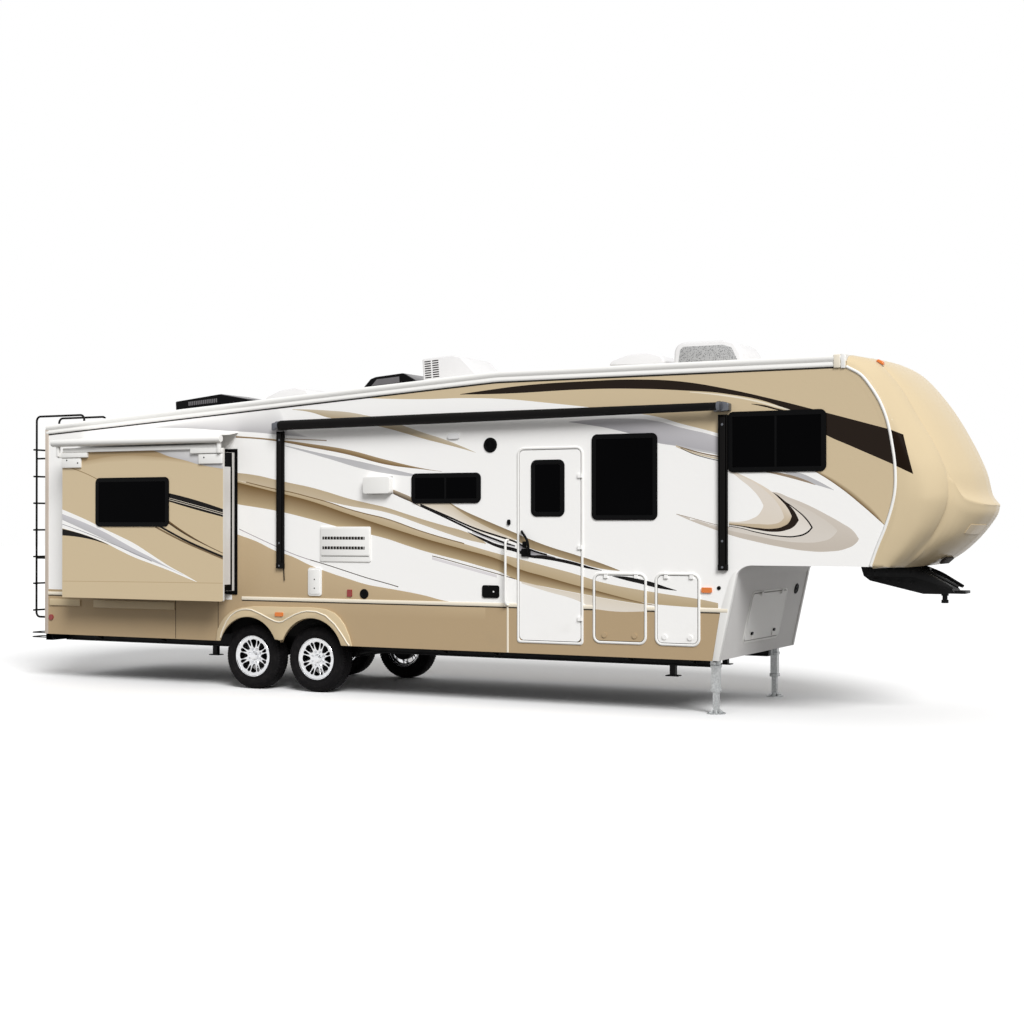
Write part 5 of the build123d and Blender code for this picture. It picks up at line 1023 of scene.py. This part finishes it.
# Slide-out fittings: white rail and end plates under the topper's roller, and on the side that faces
# forward a white panel in a frame between black seals.
vinyl, place = material("topper_vinyl")
weave = place.noise(500, 2, (1, 1, 6))
finish(place, height=weave, depth=0.0003, Base_Color=weave.mix(rgb(226, 225, 221), rgb(236, 235, 232)),
       Roughness=0.55, Specular_IOR_Level=0.2)
topper_plates = (  # from and to along the trailer, from and to up it, how far it stands out
    (-4.85, -2.493, 2.79, 2.842, 0.03), (-4.932, -4.47, 2.727, 2.787, 0.036), (-4.877, -4.577, 2.606, 2.724, 0.024),
    (-2.913, -2.468, 2.741, 2.797, 0.036), (-2.801, -2.468, 2.621, 2.736, 0.024))
box_end_x = -2.565
for side, name in ((-1, "right"), (1, "left")):
    body = "slide_out_" + name
    trim, dark, panel = Shape(), Shape(), Shape()
    for x0, x1, z0, z1, depth in topper_plates:
        y0, y1 = across(side, 1.565, 1.57 + depth)
        trim.block((x0, y0, z0), (x1, y1, z1), 0.006, 3)
    for x, z in ((-4.79, 2.697), (-4.618, 2.663), (-2.719, 2.694)):
        dark.lathe([(0.009, 0), (0.009, 0.003), (0.005, 0.005), (0, 0.005)], (x, side * 1.594, z), (0, side, 0), 16)
    y0, y1 = across(side, 1.59, 1.632)
    for x in (-4.93, -2.51):
        trim.block((x, y0, 2.74), (x + 0.04, y1, 2.9), 0.008, 3)
    trim.lathe([(0.012, 0), (0.04, 0.002), (0.045, 0.012), (0.045, 2.528), (0.04, 2.538), (0.012, 2.54)],
               (-4.987, side * 1.631, 2.905), (1, 0, 0), 40)
    for shape, thick, z0, z1, low, high in ((dark, 0.002, 2.585, 2.758, 1.271, 1.53),
                                            (dark, 0.002, 1.226, 2.585, 1.268, 1.3),
                                            (dark, 0.002, 1.154, 1.226, 1.268, 1.53),
                                            (panel, 0.0015, 1.226, 2.592, 1.302, 1.53),
                                            (panel, 0.003, 1.226, 2.592, 1.302, 1.322),
                                            (panel, 0.003, 1.226, 2.592, 1.51, 1.53),
                                            (panel, 0.003, 2.572, 2.592, 1.322, 1.51),
                                            (panel, 0.003, 1.226, 1.246, 1.322, 1.51)):
        y0, y1 = across(side, low, high)
        shape.block((box_end_x - 0.0005, y0, z0), (box_end_x + thick, y1, z1), 0.0005, 1)
    trim = trim.piece("topper_rail_" + name, white_plastic, "white_moulding", body=body)
    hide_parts("topper_roller_" + name)
    dark.piece("slide_edges_" + name, black_plastic, "black_plastic", body=body)
    panel.piece("slide_panel_" + name, panel_grey, "white_panel", body=body)
    sheet = Shape()
    reach, drop, sag, thick = 0.4045, 0.043, 0.012, 0.0016
    over = [(t / 24, 2.994 - drop * t / 24 - sag * math.sin(math.pi * t / 24)) for t in range(25)]
    ring = over + [(t, z - thick) for t, z in reversed(over)]
    rows = []
    for k in range(49):
        x = -4.842 + 2.329 * k / 48
        wave = 0.0015 * math.sin(k * 0.9) + 0.001 * math.sin(k * 2.3)
        rows.append([(x, side * (skin_y + reach * t), z + wave * math.sin(math.pi * t)) for t, z in ring])
    sheet.grid(rows, around=True)
    part = bmesh.new()
    for row in (rows[0], rows[-1]):
        part.faces.new([part.verts.new(p) for p in row])
    sheet.take(part)
    bmesh.ops.remove_doubles(sheet.mesh, verts=sheet.mesh.verts[:], dist=1e-5)
    bmesh.ops.recalc_face_normals(sheet.mesh, faces=sheet.mesh.faces[:])
    sheet = sheet.piece("topper_sheet_" + name, vinyl, "topper_vinyl")
    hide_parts("topper_fabric_" + name)
    "slide_out_" + name + "_run"
    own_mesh(sheet)


# Roof units: two moulded air conditioner covers with louvres or a mesh at the side, two smoked vent
# hoods and two lidded vent domes, screwed to the roof over gaskets.
cooler_white = plain("cooler_white", [(214, 213, 213), (224, 223, 223)], 0.5, (120, 3), 0.0004,
                     Specular_IOR_Level=0.2)
mesh_grey, place = material("grille_grey")
holes = place.node("TexVoronoi", {}, {"Vector": place, "Scale": 70})
finish(place, height=holes, depth=0.002, Base_Color=holes.ramp(0.1, 0.5).mix(rgb(70, 70, 72), rgb(170, 170, 170)),
       Roughness=0.5, Specular_IOR_Level=0.2)
smoke = plain("smoked_plastic", [(84, 82, 84), (108, 106, 108)], 0.3, (200, 2), 0.0003, patches=4,
              Specular_IOR_Level=0.3)
covers, grilles, louvres, hoods, slopes, lids, gaps = (Shape() for _ in range(7))


def on_roof(x):
    """Turns a unit's own axes into the roof's slope, at a place along it."""
    slope = math.atan2(front_roof_z - rear_roof_z, knee_x - rear_x) if x < knee_x else 0
    return Matrix.Translation((x, 0, roof_z(x) + 0.035)) @ Matrix.Rotation(-slope, 4, "Y")


turn = on_roof(-0.08)
covers.plate([(-0.441, 0), (-0.441, 0.33), (-0.2, 0.333), (-0.027, 0.33), (0.07, 0.3), (0.16, 0.2), (0.26, 0.09),
              (0.441, 0.04), (0.441, 0)], -0.358, 0.358, soft=0.028, steps=4, turn=turn)
# The louvres' dark blocks are painted shade in their openings.
for side in (-1, 1):
    y0, y1 = across(side, 0.352, 0.3595)
    for u0, u1 in ((-0.408, -0.325), (-0.305, -0.222)):
        for k in range(8):
            w = 0.1 + 0.0265 * k
            louvres.block((u0, y0, w), (u1, y1, w + 0.014), 0.002, turn=turn)
turn = on_roof(2.968)
covers.plate([(-0.393, 0), (-0.385, 0.19), (-0.35, 0.25), (-0.28, 0.273), (0.17, 0.273), (0.29, 0.245), (0.365, 0.13),
              (0.393, 0)], -0.348, 0.348, soft=0.028, steps=4, turn=turn)
grilles.plate([(-0.335, 0.055), (-0.315, 0.19), (-0.28, 0.222), (0.17, 0.222), (0.262, 0.19), (0.325, 0.06)],
              -0.3505, 0.3505, soft=0.002, turn=turn)
turn = on_roof(-3.601)
hoods.plate([(-0.575, 0), (-0.575, 0.198), (0.117, 0.224), (0.56, 0.115), (0.56, 0)], -0.3, 0.3, soft=0.014,
            steps=3, turn=turn)
slopes.plate([(0.13, 0.2255), (0.552, 0.1215), (0.548, 0.112), (0.126, 0.215)], -0.29, 0.29, soft=0.002, turn=turn)
for side in (-1, 1):
    y0, y1 = across(side, 0.29, 0.302)
    for k in range(16):
        u = -0.367 + 0.0285 * k
        slopes.block((u, y0, 0.125), (u + 0.018, y1, 0.175), 0.002, turn=turn)
turn = on_roof(-0.943)
hoods.plate([(-0.47, 0), (-0.455, 0.085), (-0.34, 0.185), (-0.27, 0.202), (0.11, 0.208), (0.39, 0.03), (0.39, 0)],
            -0.28, 0.28, soft=0.014, steps=3, turn=turn)
slopes.plate([(0.125, 0.2035), (0.385, 0.0385), (0.38, 0.028), (0.12, 0.193)], -0.262, 0.262, soft=0.002, turn=turn)
slopes.plate([(-0.33, 0.1), (-0.25, 0.17), (0.06, 0.172), (0.06, 0.1)], -0.282, 0.282, soft=0.002, turn=turn)
for x, width in ((-2.44, 0.3), (2.154, 0.28)):
    turn = on_roof(x)
    lids.block((-0.285, -width, -0.002), (0.285, width, 0.03), 0.006, 3, turn=turn)
    # The dark band under each lid is painted shade in the gap.
    gaps.block((-0.265, -width + 0.02, 0.028), (0.265, width - 0.02, 0.045), 0.002, turn=turn)
    lids.plate([(-0.37, 0.068), (-0.34, 0.115), (-0.14, 0.176), (0.09, 0.19), (0.24, 0.152), (0.29, 0.09),
                (0.275, 0.043)], -width + 0.008, width - 0.008, soft=0.018, steps=4, turn=turn)
covers = covers.piece("cooler_covers", cooler_white, "white_moulding")
grilles = grilles.piece("cooler_grilles", mesh_grey, "white_moulding")
louvres = louvres.piece("cooler_louvres", gap_shade_black, "black_plastic")
hoods = hoods.piece("vent_hoods", black_plastic, "black_plastic")
slopes = slopes.piece("vent_slopes", smoke, "black_plastic")
lids = lids.piece("dome_lids", cooler_white, "white_moulding")
gaps.piece("vent_gaps", gap_shade_black, "black_seal")
for unit in (covers, grilles, louvres):
    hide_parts("air_conditioners")
for unit in (hoods, slopes):
    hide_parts("roof_vents")
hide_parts("vent_domes")


# Patio awning: black aluminium arms on the wall, each a channel with a strut folded into it, and a
# roller between their heads that carries the rolled fabric.
awning_black = plain("awning_black", [(8, 7, 7), (13, 11, 10)], 0.45, (90, 2), 0.0003, patches=5,
                     Specular_IOR_Level=0.08)
cast_grey = plain("cast_grey", [(96, 98, 104)], 0.3, (200, 2), 0.0003, Metallic=0.6)
arms, roller, heads = (Shape() for _ in range(3))
for x, foot, top in ((-1.9, 1.43, 2.99), (3.46, 1.479, 3.02)):
    arms.block((x - 0.046, -1.2275, foot), (x + 0.046, -wall_y, top), 0.003)
    for shift in (-0.042, 0.042):
        arms.block((x + shift - 0.005, -1.258, foot), (x + shift + 0.005, -1.222, top), 0.002)
    arms.block((x - 0.029, -1.266, foot + 0.03), (x + 0.029, -1.232, top - 0.02), 0.008, 3)
    arms.block((x - 0.05, -1.262, foot - 0.012), (x + 0.05, -wall_y, foot + 0.05), 0.006, 3)
    for z in (foot + 0.02, foot + 0.28, top - 0.1):
        heads.lathe([(0.012, 0), (0.012, 0.004), (0.006, 0.007), (0, 0.007)], (x, -1.2655, z), (0, -1, 0), 16)
arms.rod([(-1.86, -1.232, 1.44), (-1.852, -1.232, 1.28)], 0.006, 10)
start, end = Vector((-1.86, -1.3303, 3.052)), Vector((3.463, -1.3303, 3.098))
reach = (end - start).length
ridges = [((0.056 if k % 2 else 0.0555) - 0.015 * max(k - 16, 0) / 24, 0.03 + (reach - 0.06) * k / 40)
          for k in range(41)]
roller.lathe([(0.02, 0.0), (0.04, 0.002), (0.044, 0.02)] + ridges + [(0.044, reach - 0.02), (0.04, reach - 0.002),
             (0.02, reach)], start, end - start, 48)
for x, centre in ((-1.9, start), (3.46, end)):
    heads.lathe([(0.03, -0.03), (0.05, -0.028), (0.05, 0.006), (0.03, 0.01)], centre, end - start, 32)
    heads.plate([(x - 0.075, centre.z - 0.052), (x + 0.085, centre.z - 0.045), (x + 0.085, centre.z + 0.03),
                 (x + 0.02, centre.z + 0.05), (x - 0.075, centre.z + 0.03)], -1.318, -skin_y, soft=0.01, steps=3)
arms = arms.piece("awning_channels", awning_black, "black_plastic")
roller = roller.piece("awning_tube", awning_black, "black_plastic")
heads = heads.piece("awning_heads", cast_grey, "black_plastic")
for unit in (arms, heads):
    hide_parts("awning_arms")
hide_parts("awning_roller")


# Wall fittings: white hatch covers with their slots, the porch box, a round speaker, ports and lamps,
# each screwed through the wall's skin.
hatches, slots, fittings, lenses = (Shape() for _ in range(4))
for shape, x0, x1, z0, z1, corner, inner_y, outer_y, soft in (
        (hatches, -1.3605, -0.6855, 1.5045, 1.8995, 0.02, skin_y, 1.232, 0.004),
        (hatches, -1.345, -0.701, 1.575, 1.884, 0.015, 1.226, 1.238, 0.004),
        (hatches, -1.5245, -1.3395, 1.113, 1.433, 0.03, skin_y, 1.234, 0.005),
        (hatches, -1.505, -1.359, 1.133, 1.413, 0.02, 1.23, 1.239, 0.004),
        (fittings, 0.726, 0.932, 1.1385, 1.2735, 0.025, skin_y, 1.234, 0.005),
        (fittings, 0.746, 0.912, 1.1585, 1.2535, 0.018, 1.23, 1.2385, 0.004),
        (fittings, 1.03, 1.066, 1.918, 1.977, 0.016, skin_y, 1.238, 0.005)):
    shape.plate(rounded(x0, x1, z0, z1, corner), -inner_y, -outer_y, soft=soft, steps=3)
hatches.plate(rounded(-0.746, -0.4, 2.2645, 2.4515, 0.028), -skin_y, -1.3, soft=0.018, steps=4)
lenses.plate(rounded(0.3, 0.45, 2.85, 2.91, 0.029), -skin_y, -1.24, soft=0.008, steps=4)
# The dark slots of the louvred hatch, the line under its lip and the plate behind the porch box's rounded edge are
# painted shade.
for z in (1.66, 1.77):
    slots.block((-1.3235, -1.2386, z - 0.017), (-0.76, -1.236, z + 0.017), 0.001)
    for k in range(14):
        x = -1.3 + 0.04 * k
        hatches.block((x, -1.2395, z - 0.017), (x + 0.006, -1.236, z + 0.017), 0.001)
slots.block((-1.34, -1.2325, 1.562), (-0.706, -1.231, 1.567), 0)
slots.block((-0.74, -1.2225, 2.262), (-0.406, -skin_y, 2.4535), 0.001)
to_right = (0, -1, 0)
for shape, profile, spot, steps in (
        (slots, [(0.008, 0), (0.008, 0.002), (0, 0.002)], (-1.432, -1.2388, 1.2), 16),
        (slots, [(0.008, 0), (0.008, 0.002), (0, 0.002)], (-1.432, -1.2388, 1.3), 16),
        (fittings, [(0.08, 0), (0.08, 0.008), (0.072, 0.013), (0.06, 0.012), (0.056, 0.008), (0.03, 0.009),
                    (0, 0.012)], (0.823, -skin_y, 2.775), 48),
        (fittings, [(0.055, 0), (0.055, 0.008), (0.048, 0.013), (0.03, 0.013), (0.026, 0.01), (0, 0.01)],
         (-0.774, -skin_y, 1.149), 32),
        (fittings, [(0.02, 0), (0.02, 0.006), (0.014, 0.009), (0, 0.009)], (3.41, -skin_y, 1.291), 24),
        (lenses, [(0.009, 0), (0.009, 0.003), (0, 0.003)], (0.87, -1.238, 1.206), 16)):
    shape.lathe(profile, spot, to_right, steps)
for k in range(1, 5):
    r = 0.012 * k
    fittings.lathe([(r - 0.002, 0.009), (r - 0.001, 0.0125), (r + 0.001, 0.0125), (r + 0.002, 0.009)],
                   (0.823, -skin_y, 2.775), to_right, 32, around=True)
hatches = hatches.piece("hatch_covers", white_plastic, "white_moulding")
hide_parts("wall_hatches")
slots.piece("hatch_slots", gap_shade_black, "black_seal")
fittings = fittings.piece("wall_ports", black_plastic, "black_plastic")
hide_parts("wall_fittings")
lenses.piece("porch_lamp", clear, "white_moulding")
red = plain("red_lens", [(140, 16, 12)], 0.15, (300, 1), 0.0004, Coat_Weight=0.4)
dress(red, "lamps_red")


# Pin box, ladder and handle: the hitch's welded box, the tubular rear ladder and the white grab handle.
# The box hangs under the overhang on bolted side plates; ladder and handle are bent tube, screwed on.
dress(chassis_black, "pin_box", "king_pin")
dress(awning_black, "ladder")
dress(white_plastic, "grab_handle")
pins = Shape()
for side in (-1, 1):
    for k in range(4):
        for z in (1.44, 1.37 - 0.01 * k):
            pins.lathe([(0.014, 0), (0.014, 0.01), (0.008, 0.013), (0, 0.013)], (4.72 + 0.12 * k, side * 0.224, z),
                       (0, side, 0), 6)
    pins.plate([(4.64, 1.5), (5.12, 1.5), (5.5, 1.3), (5.5, 1.28), (5.1, 1.4), (4.64, 1.4)], side * 0.222,
               side * 0.232, soft=0.003)
    pins.rod([(5.12, side * 0.17, 1.5), (5.3, side * 0.17, 1.43), (5.53, side * 0.12, 1.3)], 0.014, 12, bend=0.05)
pins.block((5.44, -0.12, 1.232), (5.6, 0.12, 1.262), 0.006, 3)
pins.lathe([(0.02, -0.03), (0.03, -0.028), (0.03, 0.03), (0.02, 0.032)], (5.2, 0, 1.47), (0, 1, 0), 24)
pins.piece("pin_box_bolts", chassis_black, "black_steel")


# Floor and light: a plain pale floor and surround, white to the camera, under one broad soft lamp.
# Both show white but give the trailer less light than that, so that pale panels keep their colour.
def shown_in(tree):
    """1 for the rays that show the surface itself or in metal or glass, 0 for the light it gives."""
    path = tree.nodes.new("ShaderNodeLightPath")
    seen, mirrored, passed = (Flow(tree, path.outputs[ray])
                              for ray in ("Is Camera Ray", "Is Glossy Ray", "Is Transmission Ray"))
    return seen.math("MAXIMUM", seen, seen.math("MAXIMUM", mirrored, passed))


floor_white, place = material("floor_white")
shown = shown_in(floor_white.node_tree)
matt = shown.node("BsdfDiffuse", {}, {"Color": shown.mix((0.16, 0.155, 0.15, 1), (0.98, 0.98, 0.98, 1))})
shown.node("OutputMaterial", {}, {"Surface": matt})
floor_half = 90
mesh = bpy.data.meshes.new("floor")
mesh.from_pydata([(x * floor_half, y * floor_half, 0) for x, y in ((-1, -1), (1, -1), (1, 1), (-1, 1))], [],
                 [(0, 1, 2, 3)])
mesh.materials.append(floor_white)
floor = bpy.data.objects.new("floor", mesh)
bpy.context.scene.collection.objects.link(floor)

world = bpy.data.worlds.new("studio")
world.use_nodes = True
world.node_tree.nodes.clear()
shown = shown_in(world.node_tree)
sky = shown.node("Background", {}, {"Color": (1, 1, 1, 1), "Strength": shown * 0.43 + 0.57})
shown.node("OutputWorld", {}, {"Surface": sky})
bpy.context.scene.world = world

data = bpy.data.lights.new("key_lamp", "SUN")
data.energy, data.angle = 3.0, math.radians(26)
lamp = bpy.data.objects.new("key_lamp", data)
lamp.rotation_euler = Vector((-0.56, 0.56, -0.61)).to_track_quat("-Z", "Y").to_euler()
bpy.context.scene.collection.objects.link(lamp)

bpy.context.scene.view_settings.view_transform = "Standard"
